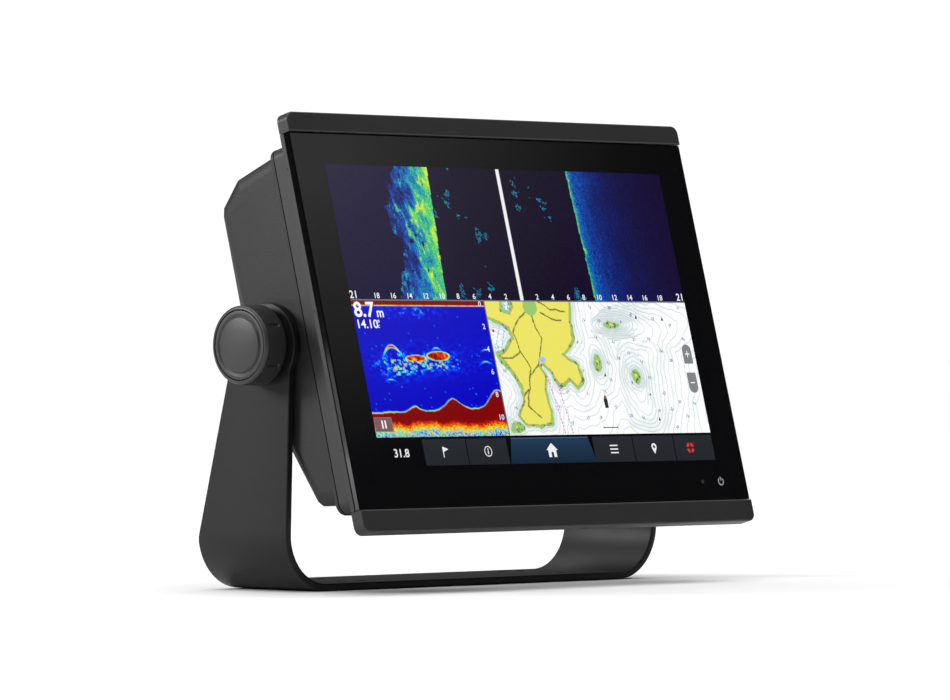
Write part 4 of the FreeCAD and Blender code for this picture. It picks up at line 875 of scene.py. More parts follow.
@dataclass
class ChartPanel:
    """The lower right picture: a made-up coast with shallows, depth lines, soundings and zoom keys."""

    area: PictureArea
    land: Colour = (231, 224, 99)
    shallow: Colour = (150, 196, 106)
    water: Colour = (252, 253, 253)
    coast: tuple[Point, ...] = (
        (-31, 10), (-31, -1), (-24, -3), (-14, -6), (-13, -13), (-21, -19), (-26, -22), (-18, -31),
        (-12, -41), (-14, -48), (-19, -55), (-15, -60), (-5, -61), (4, -59), (6, -52), (4, -43),
        (6, -33), (3, -28), (8, -27), (13, -33), (17, -38), (25, -35), (31, -40), (35, -35),
        (34, -28), (28, -25), (24, -21), (29, -18), (33, -13), (34, -4), (37, 10))
    inlet: tuple[Point, ...] = ((-17, 10), (-19, 3), (-12, 1), (-9, 4), (-10, 10))
    roads: tuple = (((2, 9), (6, -6), (10, -12), (3, -27), (-5, -33), (-7, -41), (-16, -47)),
                    ((8, 9), (-9, -5), (-12, -10), (-9, -20), (-4, -28), (-5, -33)),
                    ((10, 9), (20, 4), (32, 2)), ((12, 1), (28, -3)), ((-9, -20), (-17, -24), (-25, -23)),
                    ((-7, -41), (-12, -50), (-3, -56)))
    islands: tuple = ((50.5, -26.0, 2.6, 3.6), (78.5, -34.0, 2.4, 3.2), (68.0, -5.5, 4.6, 1.3),
                      (-22.0, -62.0, 4.0, 2.4))
    shoals: tuple = ((98, -20, 12, 3.4), (62, 0, 10, 3.0), (88, -54, 13, 3.6), (70, -58, 7, 2.2))
    lanes: tuple = ((((8, -33), (14, -66)), (236, 92, 222)), (((15, -37), (20, -66)), (236, 92, 222)),
                    (((-14, 8), (-28, -18)), (92, 182, 240)), (((-11, 8), (-24, -20)), (92, 182, 240)))
    boat: Point = (50.5, -48.0)
    sounding_tries: int = 260
    sounding_gap: float = 8.5

    def build(self, axes: GlassAxes) -> None:
        """Paints the chart, then adds soundings, the boat, the scale bar and the zoom keys."""
        x, u = self.area.grid()
        wobble_x = x + 1.5 * cloud(x, u, 7, 4, 51)
        wobble_u = u + 1.5 * cloud(x, u, 7, 4, 53)
        closed = [*self.coast]
        on_land = inside(wobble_x, wobble_u, closed) & ~inside(wobble_x, wobble_u, self.inlet)
        shore = line_distance(wobble_x, wobble_u, closed)
        shore = np.minimum(shore, line_distance(wobble_x, wobble_u, [*self.inlet, self.inlet[0]]))
        isle = np.minimum.reduce([np.hypot((wobble_x - ix) / w, (wobble_u - iu) / h)
                                  for ix, iu, w, h in self.islands])
        away = np.where(on_land, 0, np.minimum(shore, np.clip(isle - 1, 0, None) * 4.5))

        depth = 3.1 * np.sqrt(away + 0.2) + 2.6 * cloud(x, u, 42, 3, 57) + 1.1 * cloud(x, u, 14, 2, 59)
        for ix, iu, width, height in self.shoals:
            depth = depth - height * np.exp(-((x - ix) / width) ** 2 - ((u - iu) / (width * 0.8)) ** 2)
        slope = np.hypot(*np.gradient(depth, self.area.cell)) + 0.02
        across = np.abs((depth * 0.62) % 1.0 - 0.5)
        line = np.clip(1.15 - (0.5 - across) / (0.62 * slope) / 0.28, 0, 1)
        tint = np.clip((slope - 0.42) * 0.8, 0, 0.5)
        colours = np.broadcast_to(np.array(self.water, float), (*x.shape, 3)).copy()
        colours += (np.array((196, 210, 210.0)) - colours) * tint[..., None]
        colours += (np.array((168, 190, 190.0)) - colours) * (0.85 * line)[..., None]

        green = (away < 1.2 + 1.7 * np.clip(cloud(x, u, 16, 3, 61) + 0.35, 0, 1)) | (isle < 1.0)
        colours[green] = self.shallow
        rocks = green & ~on_land & (cloud(x, u, 1.7, 2, 63) > 0.34)
        colours[rocks] = (96, 112, 84)
        colours[on_land] = self.land
        colours[(isle < 0.45) & (cloud(x, u, 3, 2, 67) > -0.1)] = self.land
        for road in self.roads:
            near = line_distance(wobble_x, wobble_u, road)
            colours[(near < 0.42) & on_land] = (112, 106, 72)
        colours[on_land & (shore < 0.45)] = (186, 150, 84)
        wood = on_land & (np.hypot((x - 5) / 5.5, (u - 5) / 5) < 1)
        colours[wood] = self.shallow
        pond = on_land & (np.hypot((x - 6.5) / 3.0, (u + 24.5) / 1.6) < 1)
        colours[pond] = (160, 190, 236)
        for path, colour in self.lanes:
            dashes = (line_distance(x, u, path) < 0.36) & ((u * 0.55) % 1.0 < 0.62)
            colours[dashes & ~on_land] = colour
        self.area.show(axes, colours)
        self.soundings(axes, depth, on_land, x, u)
        self.keys(axes)

    def soundings(self, axes: GlassAxes, depth: Array, on_land: Array, x: Array, u: Array) -> None:
        """Scatters small blue depth numbers over the water, clear of the land and of each other."""
        rng = np.random.default_rng(91)
        signs = SignSheet("chart_soundings")
        kept: list[Point] = []
        for _ in range(self.sounding_tries):
            column, row = int(rng.integers(6, x.shape[1] - 6)), int(rng.integers(6, x.shape[0] - 6))
            px, pu = float(x[row, column]), float(u[row, column])
            patch = on_land[row - 5:row + 6, column - 5:column + 6].any()
            close = any(math.hypot(px - a, pu - b) < self.sounding_gap for a, b in kept)
            key = px > 116 and -47 < pu < -13
            if patch or close or key:
                continue
            kept.append((px, pu))
            reading = max(1, round(float(depth[row, column]) * 1.3))
            signs.text(str(reading), px, pu - 0.8, 1.75, (52, 46, 140), True, 1.08,
                       float(rng.choice((0, 0, 38, -30))))
        signs.show(axes)

    def keys(self, axes: GlassAxes) -> None:
        """The zoom keys, the scale bar, buoys and the boat, whose outline is a pointed hull."""
        plates, signs = SignSheet("chart_key_plates", 0.1), SignSheet("chart_signs", 0.15)
        grey, white = (128, 130, 133), (250, 250, 252)
        key_ends = ((-27.0, -16.0, (0.6, 0.6, 3.4, 3.4)), (-43.5, -32.0, (3.4, 3.4, 0.6, 0.6)))
        for low, high, radii in key_ends:
            plates.rounded(120.6, 127.9, low, high, radii, grey)
            signs.bar(122.5, 126.0, (low + high) / 2 - 0.28, (low + high) / 2 + 0.28, white)
        signs.bar(123.97, 124.53, -23.4, -19.6, white)
        black = (22, 24, 24)
        signs.bar(44.6, 56.2, -62.7, -62.2, black)
        for end in (44.6, 55.8):
            signs.bar(end, end + 0.4, -63.2, -61.6, black)
        hull = np.array([(-1.3, -3.6), (1.3, -3.6), (1.5, 0.6), (1.1, 2.4), (0, 4.0), (-1.1, 2.4),
                         (-1.5, 0.6)])
        signs.shape(hull + self.boat, (24, 48, 58))
        signs.shape(np.array([(0, 1.6), (1.0, 1.9), (0, 3.9)]) + self.boat, (30, 160, 60))
        signs.shape(np.array([(0, 1.6), (-1.0, 1.9), (0, 3.9)]) + self.boat, (222, 34, 28))
        signs.disc(-27.2, -8.5, 0.9, (206, 30, 26), 12)
        signs.disc(-18.5, 2.5, 0.8, (40, 160, 60), 12)
        for px, pu in ((88.0, -0.5), (109.0, -1.5), (91.0, -58.0), (54.0, -33.0)):
            signs.shape(np.array([(px - 0.9, pu - 1.0), (px + 0.9, pu - 1.0), (px + 0.2, pu + 1.2)]), black)
        plates.show(axes)
        signs.show(axes)


@dataclass
class MenuBar:
    """The row of keys along the foot of the screen, with pictograms on them."""

    left: float
    right: float
    low: float = -81.6
    high: float = -67.4
    gap: float = 0.35
    white: Colour = (232, 233, 236)
    slate: Colour = (33, 37, 42)

    def build(self, axes: GlassAxes) -> None:
        """Lays a black ground, then the keys with slanted sides, then the pictograms."""
        ground, keys = SignSheet("menu_ground", 0.05), SignSheet("menu_keys", 0.09)
        signs = SignSheet("menu_signs", 0.14)
        ground.bar(self.left, self.right, self.low, self.high + 1.3, (2, 2, 3))
        for stops in ((-97.9, -64.8, -33.4), (33.4, 65.6, 98.6, self.right)):
            for start, end in zip(stops, stops[1:]):
                self.key(keys, (start + self.gap,) * 2, (end - self.gap,) * 2, self.slate)
        home = SignSheet("menu_middle_key", 0.115)
        self.key(home, (-33.0, -29.8), (34.2, 30.2), (20, 37, 56), (31, 56, 82))
        home.shape(np.array([(-29.6, self.high), (30.0, self.high), (30.3, self.high - 0.5),
                             (-29.9, self.high - 0.5)]), (64, 104, 142))
        middle = (self.low + self.high) / 2
        signs.text("31.8", -114.5, middle - 2.3, 4.6, self.white)
        self.flag(signs, -81.5, middle)
        self.info(signs, -49.0, middle)
        self.house(signs, 0.5, middle - 0.4)
        for rise in (-2.0, 0.0, 2.0):
            signs.bar(46.6, 52.8, middle + rise - 0.35, middle + rise + 0.35, self.white)
        self.pin(signs, 82.0, middle)
        for start in (15, 105, 195, 285):
            signs.arc(111.5, middle, 1.4, 3.0, start, start + 60, (226, 52, 44), 9)
        for sheet in (ground, keys, home, signs):
            sheet.show(axes)

    def key(self, sheet: SignSheet, left: Point, right: Point, low_colour: Colour,
            high_colour: Colour | None = None) -> None:
        """Adds a key whose ends run from (foot, head) places, lighter at its head."""
        outline = [(left[0], self.low), (right[0], self.low), (right[1], self.high), (left[1], self.high)]
        sheet.shape(np.array(outline), low_colour)
        head = high_colour or tuple(value + 4 for value in low_colour)
        sheet.colours[-2:] = [head, head]

    def flag(self, sheet: SignSheet, x: float, u: float) -> None:
        """A flag on a pole."""
        sheet.bar(x - 1.9, x - 1.3, u - 2.9, u + 2.9, self.white)
        sheet.shape(np.array([(x - 1.3, u + 2.9), (x + 2.5, u + 1.5), (x - 1.3, u + 0.1)]), self.white)

    def info(self, sheet: SignSheet, x: float, u: float) -> None:
        """A ring with a dot over a bar."""
        sheet.arc(x, u, 2.4, 2.9, 0, 360, self.white, 28)
        sheet.disc(x, u + 1.2, 0.45, self.white, 10)
        sheet.bar(x - 0.35, x + 0.35, u - 1.5, u + 0.4, self.white)

    def house(self, sheet: SignSheet, x: float, u: float) -> None:
        """A roof over a square house with a doorway."""
        sheet.shape(np.array([(x - 4.4, u + 0.5), (x + 4.4, u + 0.5), (x, u + 4.4)]), self.white)
        for side in (-1, 1):
            near, far = sorted((x + side * 0.9, x + side * 3.1))
            sheet.bar(near, far, u - 3.4, u + 0.5, self.white)
        sheet.bar(x - 0.9, x + 0.9, u - 0.6, u + 0.5, self.white)

    def pin(self, sheet: SignSheet, x: float, u: float) -> None:
        """A map pin: a ring with a point below it."""
        sheet.arc(x, u + 0.9, 0.9, 2.0, 0, 360, self.white, 24)
        sheet.shape(np.array([(x - 1.6, u - 0.3), (x + 1.6, u - 0.3), (x, u - 3.1)]), self.white)


@dataclass
class Screen:
    """Everything lit on the cover glass, and the marks printed on it."""

    axes: GlassAxes
    menu_top: float = -66.1
    split_u: float = 8.1
    split_x: float = -30.2
    grey: Colour = (112, 113, 116)

    def build(self) -> None:
        """Builds the three pictures, the lines between them, the menu bar and the printed marks."""
        half, top = self.axes.half_width, self.axes.half_height
        SideScanPanel(PictureArea("picture_sidescan", -half, half, self.split_u, top)).build(self.axes)
        SonarPanel(PictureArea("picture_sonar", -half, self.split_x, self.menu_top, self.split_u)
                   ).build(self.axes)
        ChartPanel(PictureArea("picture_chart", self.split_x, half, self.menu_top, self.split_u, 0.42)
                   ).build(self.axes)
        MenuBar(-half, half, -top).build(self.axes)
        lines = SignSheet("picture_dividers", 0.2)
        lines.bar(-half, half, self.split_u - 0.4, self.split_u + 0.3, self.grey)
        lines.bar(self.split_x - 0.35, self.split_x + 0.35, self.menu_top, self.split_u - 0.4, self.grey)
        lines.show(self.axes)
        self.printed_marks()

    def printed_marks(self) -> None:
        """The power key's broken ring and bar, and the light sensor's window."""
        u = self.axes.glass_bottom + 10.4
        power_x = self.axes.glass_half - 21.5
        mark = SignSheet("power_key_mark", 0.03)
        mark.arc(power_x, u - 0.2, 1.75, 2.2, 125, 415, (200, 200, 204), 40)
        mark.bar(power_x - 0.22, power_x + 0.22, u + 0.2, u + 2.5, (200, 200, 204))
        mark.show(self.axes, Finish.INK, "cover_glass")
        window = SignSheet("light_sensor_window", 0.02)
        window.disc(self.axes.glass_half - 36.5, u, 1.1, (20, 16, 22), 28)
        window.show(self.axes, Finish.COMPONENT, "black_component")


# ---------------------------------------------------------------- bracket

@dataclass
class Bracket:
    """The bent strip: a rounded-edge section carried down one arm, across the base and up the other."""

    thick: float = 4.0
    bend: float = 26.0
    eye_r: float = 22.4
    taper_start: float = 26.6
    front_lean: float = 0.027
    edge_round: float = 0.7
    hole_r: float = 3.0
    hole_pitches: tuple[float, float] = (172.0, 142.0)
    hole_rows: float = 31.0
    bore_r: float = 7.06

    def outline(self, z: Array, pivot: Array, half: float) -> tuple[Array, Array]:
        """Front and back edges at a height: straight edges that become a circle round the pivot.

        Args:
            z: heights in millimetres.
            pivot: the pivot's y and z.
            half: half the base's depth.

        Returns:
            The front and back y at every height.
        """
        run_y, run_z = pivot[0] - half, pivot[1] - self.taper_start
        reach = math.hypot(run_y, run_z)
        turn = math.atan2(-run_y, run_z) - math.asin(self.eye_r / reach)
        touch_z = self.taper_start + math.sqrt(reach ** 2 - self.eye_r ** 2) * math.cos(turn)
        circle = np.sqrt(np.clip(self.eye_r ** 2 - (z - pivot[1]) ** 2, 0.05, None))
        back = half - np.clip(z - self.taper_start, 0, None) * math.tan(turn)
        back = np.where(z > touch_z, pivot[0] + circle, back)
        front = -half - self.front_lean * np.clip(z - self.taper_start, 0, None)
        eye_front = np.where(z > pivot[1] - self.eye_r, pivot[0] - circle, 1e9)
        front = np.where(z > pivot[1], eye_front, np.minimum(front, eye_front))
        return front, back

    def build(self) -> None:
        """Carries the section along the path, drills the base and dresses the piece."""
        high = np.array(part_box("bail_bracket")[1]) / MM
        tilt = next(joint for joint in frame["joints"] if joint["name"] == "display_tilt")
        pivot = np.array(tilt["pos_m"][1:]) / MM
        middle_x = high[0] - self.thick / 2
        bend = self.bend + self.thick / 2
        level = self.thick / 2
        top = pivot[1] + self.eye_r - 0.02
        rise = pivot[1] + self.eye_r * np.sin(np.linspace(-math.pi / 2, math.pi / 2 - 0.03, 60))
        lower = np.linspace(level + bend, rise[0], 34)[:-1]
        arm = np.concatenate((lower, rise, [top]))[::-1]
        turn = np.linspace(0, math.pi / 2, 20)[1:-1]
        base_x = np.linspace(middle_x - bend, -(middle_x - bend), 41)
        path = [np.column_stack((np.full(arm.shape, middle_x), arm)),
                np.column_stack((middle_x - bend + bend * np.cos(turn), level + bend - bend * np.sin(turn))),
                np.column_stack((base_x, np.full(base_x.shape, level)))]
        path += [part[::-1] * np.array((-1, 1)) for part in path[1::-1]]
        path = np.concatenate(path)
        ahead = np.gradient(path, axis=0)
        ahead /= np.linalg.norm(ahead, axis=1)[:, None]
        side = np.column_stack((ahead[:, 1], -ahead[:, 0]))
        front, back = self.outline(path[:, 1], pivot, high[1])

        corner = np.radians(np.linspace(0, 90, 5))
        rounding = self.edge_round
        section = np.concatenate([np.column_stack((
            sign_y * 1.0 + 0 * corner, sign_n * 1.0 + 0 * corner,
            np.cos(corner + math.radians(begin)), np.sin(corner + math.radians(begin))))
            for sign_y, sign_n, begin in ((1, 1, 0), (-1, 1, 90), (-1, -1, 180), (1, -1, 270))])
        half_y = (back - front) / 2
        radius = np.minimum(rounding, half_y * 0.8)[:, None]
        y = (front + back)[:, None] / 2 + section[:, 0] * (half_y[:, None] - radius) + radius * section[:, 2]
        out = section[:, 1] * (level - radius) + radius * section[:, 3]
        x = path[:, 0, None] + side[:, 0, None] * out
        z = path[:, 1, None] + side[:, 1, None] * out
        strip = capped_tube("bracket_strip", np.stack((x, y, z), axis=-1))
        self.drill(strip)
        self.bore(strip, pivot, high[0])
        settle(strip, "bail", Finish.BRACKET.made, ["bail_bracket"])

    def drill(self, strip: bpy.types.Object) -> None:
        """Cuts the base's holes with round rods: circles at two heights."""
        turn = np.linspace(0, 2 * math.pi, 36, endpoint=False)
        circle = np.column_stack((np.cos(turn), np.sin(turn))) * self.hole_r
        points, faces, count = [], [], len(turn)
        for pitch in self.hole_pitches:
            for sx in (-1, 1):
                for sy in (-1, 1):
                    first = len(points) * count
                    for level in (-1.0, self.thick + 1.0):
                        middle = np.array((sx * pitch / 2, sy * self.hole_rows / 2))
                        points.append(np.column_stack((circle + middle, np.full(count, level))))
                    faces += (grid_faces(2, count, False, True) + first).tolist()
                    faces.append(tuple(range(first, first + count)))
                    faces.append(tuple(range(first + 2 * count - 1, first + count - 1, -1)))
        rods = new_piece("base_hole_rods", np.concatenate(points) * MM, faces)
        point_outwards(rods)
        cut_with(strip, rods)

    def bore(self, strip: bpy.types.Object, pivot: Array, reach: float) -> None:
        """Cuts the pivot's bore through both arms with one rod: circles in y and z, run along x."""
        turn = np.linspace(0, 2 * math.pi, 48, endpoint=False)
        x, angle = np.meshgrid((-reach - 1.0, reach + 1.0), turn, indexing="ij")
        y, z = pivot[0] + self.bore_r * np.cos(angle), pivot[1] + self.bore_r * np.sin(angle)
        cut_with(strip, capped_tube("pivot_bore_rod", np.stack((x, y, z), axis=-1)))


# ---------------------------------------------------------------- knobs

@dataclass
class Knob:
    """One clamping knob: a skirt with short grip notches, a rounded rim, and a cap with a dished ring."""

    side: str
    notches: int = 6
    notch_r: float = 0.75
    notch_half: float = 3.8
    around: int = 240

    def profile(self, corners: Sequence[Point], rounds: Sequence[float]) -> Array:
        """An open (x, radius) line whose corners are replaced by arcs, as curves through three points.

        Args:
            corners: the line's corners, in millimetres.
            rounds: how far from each corner its arc starts; 0 keeps the corner.

        Returns:
            The points of the line.
        """
        corners = np.array(corners, float)
        line = [corners[:1]]
        for i in range(1, len(corners) - 1):
            here, back, ahead = corners[i], corners[i - 1] - corners[i], corners[i + 1] - corners[i]
            back, ahead = back / np.linalg.norm(back), ahead / np.linalg.norm(ahead)
            if rounds[i] == 0:
                line.append(here[None])
                continue
            share = np.linspace(0, 1, 6)[:, None]
            start, end = here + back * rounds[i], here + ahead * rounds[i]
            line.append(start * (1 - share) ** 2 + 2 * here * share * (1 - share) + end * share ** 2)
        line.append(corners[-1:])
        return np.concatenate(line)

    def turned(self, name: str, line: Array, pivot: Array, sign: int, dents: Callable[[Array, Array], Array]
               ) -> bpy.types.Object:
        """A surface of revolution about the pivot: radius from the line, less a dent.

        Args:
            name: the piece's name.
            line: (x, radius) points from one end of the axis to the other.
            pivot: the axis' y and z in millimetres.
            sign: 1 on the right, -1 on the left.
            dents: gives the dent at every x and turn, in millimetres.

        Returns:
            The closed piece.
        """
        turn = np.linspace(0, 2 * math.pi, self.around, endpoint=False)
        x, angle = np.meshgrid(line[:, 0], turn, indexing="ij")
        radius = np.clip(line[:, 1][:, None] - dents(x, angle), 0.02, None)
        y, z = pivot[0] + radius * np.cos(angle), pivot[1] + radius * np.sin(angle)
        return capped_tube(name, np.stack((sign * x, y, z), axis=-1), 32)

    def build(self) -> None:
        """Builds the grip and the cap from the sizes of their CAD nodes."""
        sign = 1 if self.side == "right" else -1
        low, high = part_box("knob_grip_" + self.side)
        pivot = np.array(((low.y + high.y) / 2, (low.z + high.z) / 2)) / MM
        ends = sorted((abs(low.x) / MM, abs(high.x) / MM))
        wide = (high.z - low.z) / 2 / MM
        back, face = ends[0] + 2.7, ends[1]
        groove = wide - 2.8
        corners = ((ends[0], 0.0), (ends[0], 12.5), (back, 12.5), (back, wide), (face, wide - 0.75),
                   (face, groove), (face - 4.8, groove), (face - 4.8, 0.0))
        line = self.profile(corners, (0, 0.5, 0.4, 0.9, 1.9, 0.45, 0, 0))
        skirt = np.linspace(back + 1.0, face - 2.0, 40)[:, None]
        skirt_r = wide - 0.75 * (skirt - back) / (face - back)
        at = int(np.argmax(line[:, 0] > back + 0.95))
        line = np.concatenate((line[:at], np.hstack((skirt, skirt_r)), line[at:]))
        middle = (back + face) / 2 - 0.6

        def notch(x: Array, angle: Array) -> Array:
            """Round-bottomed dents: a half circle across the turn, short and round-ended along the axis."""
            step = 2 * math.pi / self.notches
            off = (angle % step - step / 2) * wide
            ends_in = np.clip(np.abs(x - middle) - self.notch_half + self.notch_r, 0, None)
            return np.sqrt(np.clip(self.notch_r ** 2 - off ** 2 - ends_in ** 2, 0, None)) * 0.9

        grip = self.turned(f"knob_skirt_{self.side}", line, pivot, sign, notch)
        settle(grip, "knob_" + self.side, Finish.KNOB.made, ["knob_grip_" + self.side])
        crown = abs(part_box("knob_cap_" + self.side)[1 if sign > 0 else 0].x) / MM
        edge = groove - 0.4
        corners = ((face - 4.6, 0.0), (face - 4.6, edge), (face - 0.15, edge), (face - 0.05, 16.3),
                   (face - 0.7, 14.9), (face + 0.15, 14.4), (crown - 0.35, 9.0), (crown - 0.08, 4.0),
                   (crown, 0.0))
        cap = self.turned(f"knob_face_{self.side}",
                          self.profile(corners, (0, 0.2, 0.4, 0.3, 0.3, 0.4, 1.5, 1.5, 0)),
                          pivot, sign, lambda x, angle: 0 * x)
        settle(cap, "knob_" + self.side, Finish.KNOB.made, ["knob_cap_" + self.side])


# ---------------------------------------------------------------- sockets and fasteners

@dataclass
class ThreadedSocket:
    """A socket on the slanted rear face: a round flange, a threaded collar and contact pins."""

    node: str
    pins: int
    pitch: float = 1.5
    thread_depth: float = 0.45
    around: int = 72

    def build(self) -> None:
        """Takes the collar's axis and size from its mount and carries a thread round it."""
        mount = next(m for m in frame["record"]["mounts"] if m["name"] == self.node)
        axis = np.array(mount["axis"])
        middle = np.array(mount["pos_m"]) / MM
        radius, length = mount["dims"]["r_mm"], mount["dims"]["length_mm"]
        right = np.array((1.0, 0.0, 0.0))
        ahead = np.cross(axis, right)
        foot = -length / 2
        turn = np.linspace(0, 2 * math.pi, self.around, endpoint=False)

        def wall(name: str, along: Array, radii: Array, lead: float) -> bpy.types.Object:
            """Rings of points along the axis, their radius less a wave that climbs with the turn."""
            a, t = np.meshgrid(along, turn, indexing="ij")
            wave = np.abs(((a / self.pitch - t / (2 * math.pi)) % 1.0) * 2 - 1)
            r = radii[:, None] - lead * wave * (radii > radius - 0.01)[:, None]
            places = middle + a[..., None] * axis + (r * np.cos(t))[..., None] * right
            places = places + (r * np.sin(t))[..., None] * ahead
            return capped_tube(name, places, 40)

        climb = np.linspace(foot + 0.8, -foot - 0.6, int(length / self.pitch * 12))
        bore = radius - 1.6
        flange = radius + 3.0
        places = [foot - 2.0, foot - 2.0, foot - 0.3, foot, foot, foot + 0.8, *climb, -foot, -foot,
                  foot + 0.4, foot + 0.4]
        radii = [0.02, flange, flange, flange - 0.3, radius - 0.35, radius - 0.35, *[radius] * len(climb),
                 radius - 0.4, bore, bore, 0.02]
        shell = wall("collar_" + self.node, np.array(places), np.array(radii), self.thread_depth)
        settle(shell, "display", Finish.ANODISED.made, [self.node])
        self.contacts(middle, axis, right, ahead, foot, radius)

    def contacts(self, middle: Array, axis: Array, right: Array, ahead: Array, foot: float, radius: float
                 ) -> None:
        """Round-ended contact pins on a circle: small surfaces of revolution along the collar's axis."""
        circle = (radius - 2.5) * 0.55
        turn = np.linspace(0, 2 * math.pi, 10, endpoint=False)
        along = np.array((6.6, 7.35, 7.55, 7.6)) + foot
        radii = np.array((0.4, 0.4, 0.26, 0.01))
        a, t = np.meshgrid(along, turn, indexing="ij")
        r = np.broadcast_to(radii[:, None], a.shape)
        points, faces = [], []
        for i in range(self.pins):
            angle = 2 * math.pi * (i + 0.5) / self.pins
            centre = middle + circle * (math.cos(angle) * right + math.sin(angle) * ahead)
            places = centre + a[..., None] * axis + (r * np.cos(t))[..., None] * right
            places = places + (r * np.sin(t))[..., None] * ahead
            faces += (grid_faces(*a.shape, False, True) + len(points) * a.size).tolist()
            points.append(places.reshape(-1, 3))
        pins = new_piece("contacts_" + self.node, np.concatenate(points) * MM, faces, 40)
        settle(pins, "display", Finish.GOLD.made)


# ---------------------------------------------------------------- CAD nodes that keep their shape

@dataclass
class RoundedShell:
    """A CAD casing whose sharp edges get a small radius."""

    node: str
    slot: str
    finish: Finish
    radius: float = 0.4
    body: str = "display"

    def build(self) -> None:
        """Merges a copy of the casing's triangles into faces, then rounds each edge past an angle."""
        copy = frame["nodes"][self.node].data.copy()
        piece = bpy.data.objects.new("rounded_" + self.node, copy)
        bpy.context.scene.collection.objects.link(piece)
        work = bmesh.new()
        work.from_mesh(copy)
        bmesh.ops.remove_doubles(work, verts=work.verts, dist=0.000002)
        bmesh.ops.dissolve_limit(work, angle_limit=math.radians(0.6), verts=work.verts, edges=work.edges)
        work.to_mesh(copy)
        work.free()
        if copy.attributes.get("custom_normal"):
            copy.attributes.remove(copy.attributes["custom_normal"])
        change = piece.modifiers.new("edges", "BEVEL")
        change.width = self.radius * MM
        change.segments = 2
        change.limit_method = "ANGLE"
        change.angle_limit = math.radians(40)
        change.use_clamp_overlap = True
        mesh = self.applied(piece)
        mesh.polygons.foreach_set("use_smooth", np.ones(len(mesh.polygons), bool))
        mesh.set_sharp_from_angle(angle=math.radians(46))
        shading = piece.modifiers.new("shading", "WEIGHTED_NORMAL")
        shading.keep_sharp = True
        shading.weight = 100
        self.applied(piece)
        settle(piece, self.body, self.finish.made, [self.node])

    @staticmethod
    def applied(piece: bpy.types.Object) -> bpy.types.Mesh:
        """Turns the piece's modifiers into its own mesh, and gives that mesh back."""
        bpy.context.view_layer.update()
        mesh = bpy.data.meshes.new_from_object(piece.evaluated_get(bpy.context.evaluated_depsgraph_get()))
        piece.modifiers.clear()
        piece.data = mesh
        return mesh


class KeptNodes:
    """The CAD nodes that are shown as they are, each with its own finish."""

    by_slot = {
        "cover_glass": Finish.GLASS, "housing_plastic": Finish.HOUSING, "trim_plastic": Finish.TRIM,
        "rear_casting": Finish.CASTING, "knob_plastic": Finish.KNOB, "gasket_rubber": Finish.RUBBER,
        "nylon": Finish.NYLON, "stainless": Finish.STEEL, "socket_metal": Finish.ANODISED,
        "socket_insulator": Finish.INSULATOR, "screen": Finish.COMPONENT, "film": Finish.FILM,
        "plated_steel": Finish.PLATE, "circuit_board": Finish.BOARD, "copper_winding": Finish.COPPER,
        "heat_aluminium": Finish.ALUMINIUM, "black_component": Finish.COMPONENT,
        "antenna_ceramic": Finish.CERAMIC, "bracket_paint": Finish.BRACKET,
    }

    def build(self) -> None:
        """Gives every CAD node the finish of its slot."""
        for row in frame["record"]["subparts"]:
            finish = self.by_slot[row["material_slot"]]
            for slot in frame["nodes"][row["node"]].material_slots:
                slot.material = finish.made


# ---------------------------------------------------------------- studio

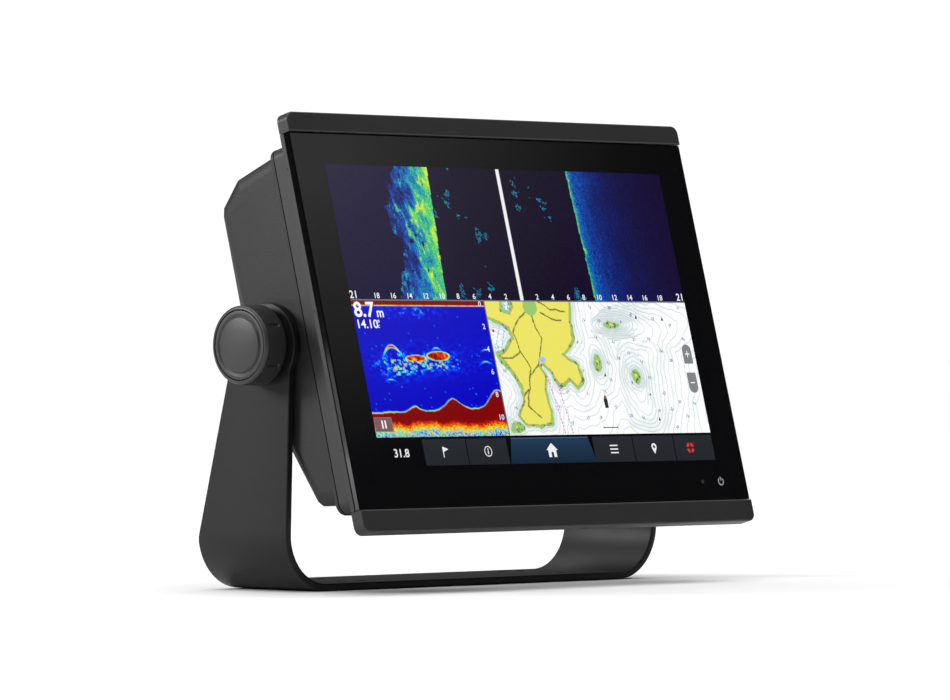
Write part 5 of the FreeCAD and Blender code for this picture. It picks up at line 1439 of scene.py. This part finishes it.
@dataclass
class Studio:
    """A white floor and surroundings, large soft lights and the camera."""

    axes: GlassAxes
    floor_half: float = 60.0
    sky: float = 2.6
    sky_low: float = 0.4
    gloom: float = 0.02
    glow: float = 0.42
    glow_reach: float = 0.055
    glow_from: tuple[float, float, float] = (0.7011, -0.5990, 0.3870)
    camera_offset: tuple[float, float, float] = (-2.36561, -2.22227, -0.01683)
    camera_ahead: tuple[float, float, float] = (0.72316, 0.69068, -0.0005)
    lens: float = 229.4

    def build(self) -> None:
        """Builds the floor, the surroundings, the lights and the camera."""
        self.floor()
        self.surroundings()
        self.light("side_softbox", (-3.0, 2.6, 1.5), (1.3, 1.3), 95.0)
        self.light("front_fill", (-1.2, -4.2, 1.4), (1.8, 1.8), 6.0)
        eye = bpy.data.objects.new("camera", bpy.data.cameras.new("camera"))
        bpy.context.scene.collection.objects.link(eye)
        eye.data.lens = self.lens
        eye.data.sensor_width = 36.0
        eye.location = Vector(self.axes.origin) + Vector(self.camera_offset)
        eye.rotation_euler = Vector(self.camera_ahead).to_track_quat("-Z", "Y").to_euler()
        bpy.context.scene.camera = eye
        bpy.context.scene.view_settings.view_transform = "Standard"

    def floor(self) -> None:
        """A large level pale sheet: a grid of two parameters in metres."""
        steps = np.linspace(-self.floor_half, self.floor_half, 9)
        x, y = np.meshgrid(steps, steps)
        points = np.stack((x, y, 0 * x - 0.0002), axis=-1).reshape(-1, 3)
        sheet = new_piece("studio_floor", points, grid_faces(*x.shape)[:, ::-1])
        kit = MaterialKit("floor_white")
        kit.set(Base_Color=(0.8, 0.8, 0.8, 1.0), Roughness=0.9, Specular_IOR_Level=0.05)
        sheet.data.materials.append(kit.material)

    def surroundings(self) -> None:
        """White to the eye; as light, a bright patch overhead and a small soft one off the glass's corner."""
        world = bpy.data.worlds.new("studio")
        world.use_nodes = True
        bpy.context.scene.world = world
        kit = NodeKit(world.node_tree)
        ahead = kit.node("ShaderNodeTexCoord", {}, {}).outputs["Generated"]
        rise = kit.node("ShaderNodeSeparateXYZ", {}, {0: ahead}).outputs["Z"]
        facing = kit.node("ShaderNodeVectorMath", {"operation": "DOT_PRODUCT"}, {0: ahead, 1: self.glow_from})
        apart = kit.maths("MAXIMUM", (1.0 - Shade(kit, facing.outputs["Value"])) * 2.0, 0.0)
        off = kit.maths("POWER", apart, 0.5)
        patch = kit.maths("MAXIMUM", 1.0 - off * (1.0 / self.glow_reach), 0.0) * self.glow
        light = kit.span(rise, self.sky_low, 1.0, self.gloom, self.sky) + patch
        seen = kit.camera_ray()
        kit.fill(world.node_tree.nodes["Background"].inputs["Strength"], seen * 1.05 + (1.0 - seen) * light)
        world.node_tree.nodes["Background"].inputs["Color"].default_value = (1.0, 1.0, 1.0, 1.0)

    def light(self, name: str, place: Sequence[float], size: Point, power: float) -> None:
        """A rectangular soft light aimed at the display's middle."""
        lamp = bpy.data.lights.new(name, "AREA")
        lamp.shape = "RECTANGLE"
        lamp.size, lamp.size_y = size
        lamp.energy = power
        holder = bpy.data.objects.new(name, lamp)
        bpy.context.scene.collection.objects.link(holder)
        holder.location = place
        aim = Vector(self.axes.origin) - Vector(place)
        holder.rotation_euler = aim.to_track_quat("-Z", "Y").to_euler()


def main() -> None:
    """Builds the studio, then each sub-assembly from the outside in."""
    logging.basicConfig(level=logging.INFO, format="%(message)s")
    axes = GlassAxes()
    KeptNodes().build()
    Studio(axes).build()
    Bracket().build()
    for side in ("left", "right"):
        Knob(side).build()
    RoundedShell("front_housing", "housing_plastic", Finish.HOUSING, 0.35).build()
    RoundedShell("rear_housing", "rear_casting", Finish.CASTING, 0.5).build()
    RoundedShell("card_door", "housing_plastic", Finish.HOUSING, 0.25, "card_door").build()
    for node, pins in (("power_socket", 4), ("data_bus_socket", 5), ("network_socket_left", 8),
                       ("network_socket_right", 8), ("transducer_socket", 12)):
        ThreadedSocket(node, pins).build()
    Screen(axes).build()


if __name__ == "__main__":
    main()
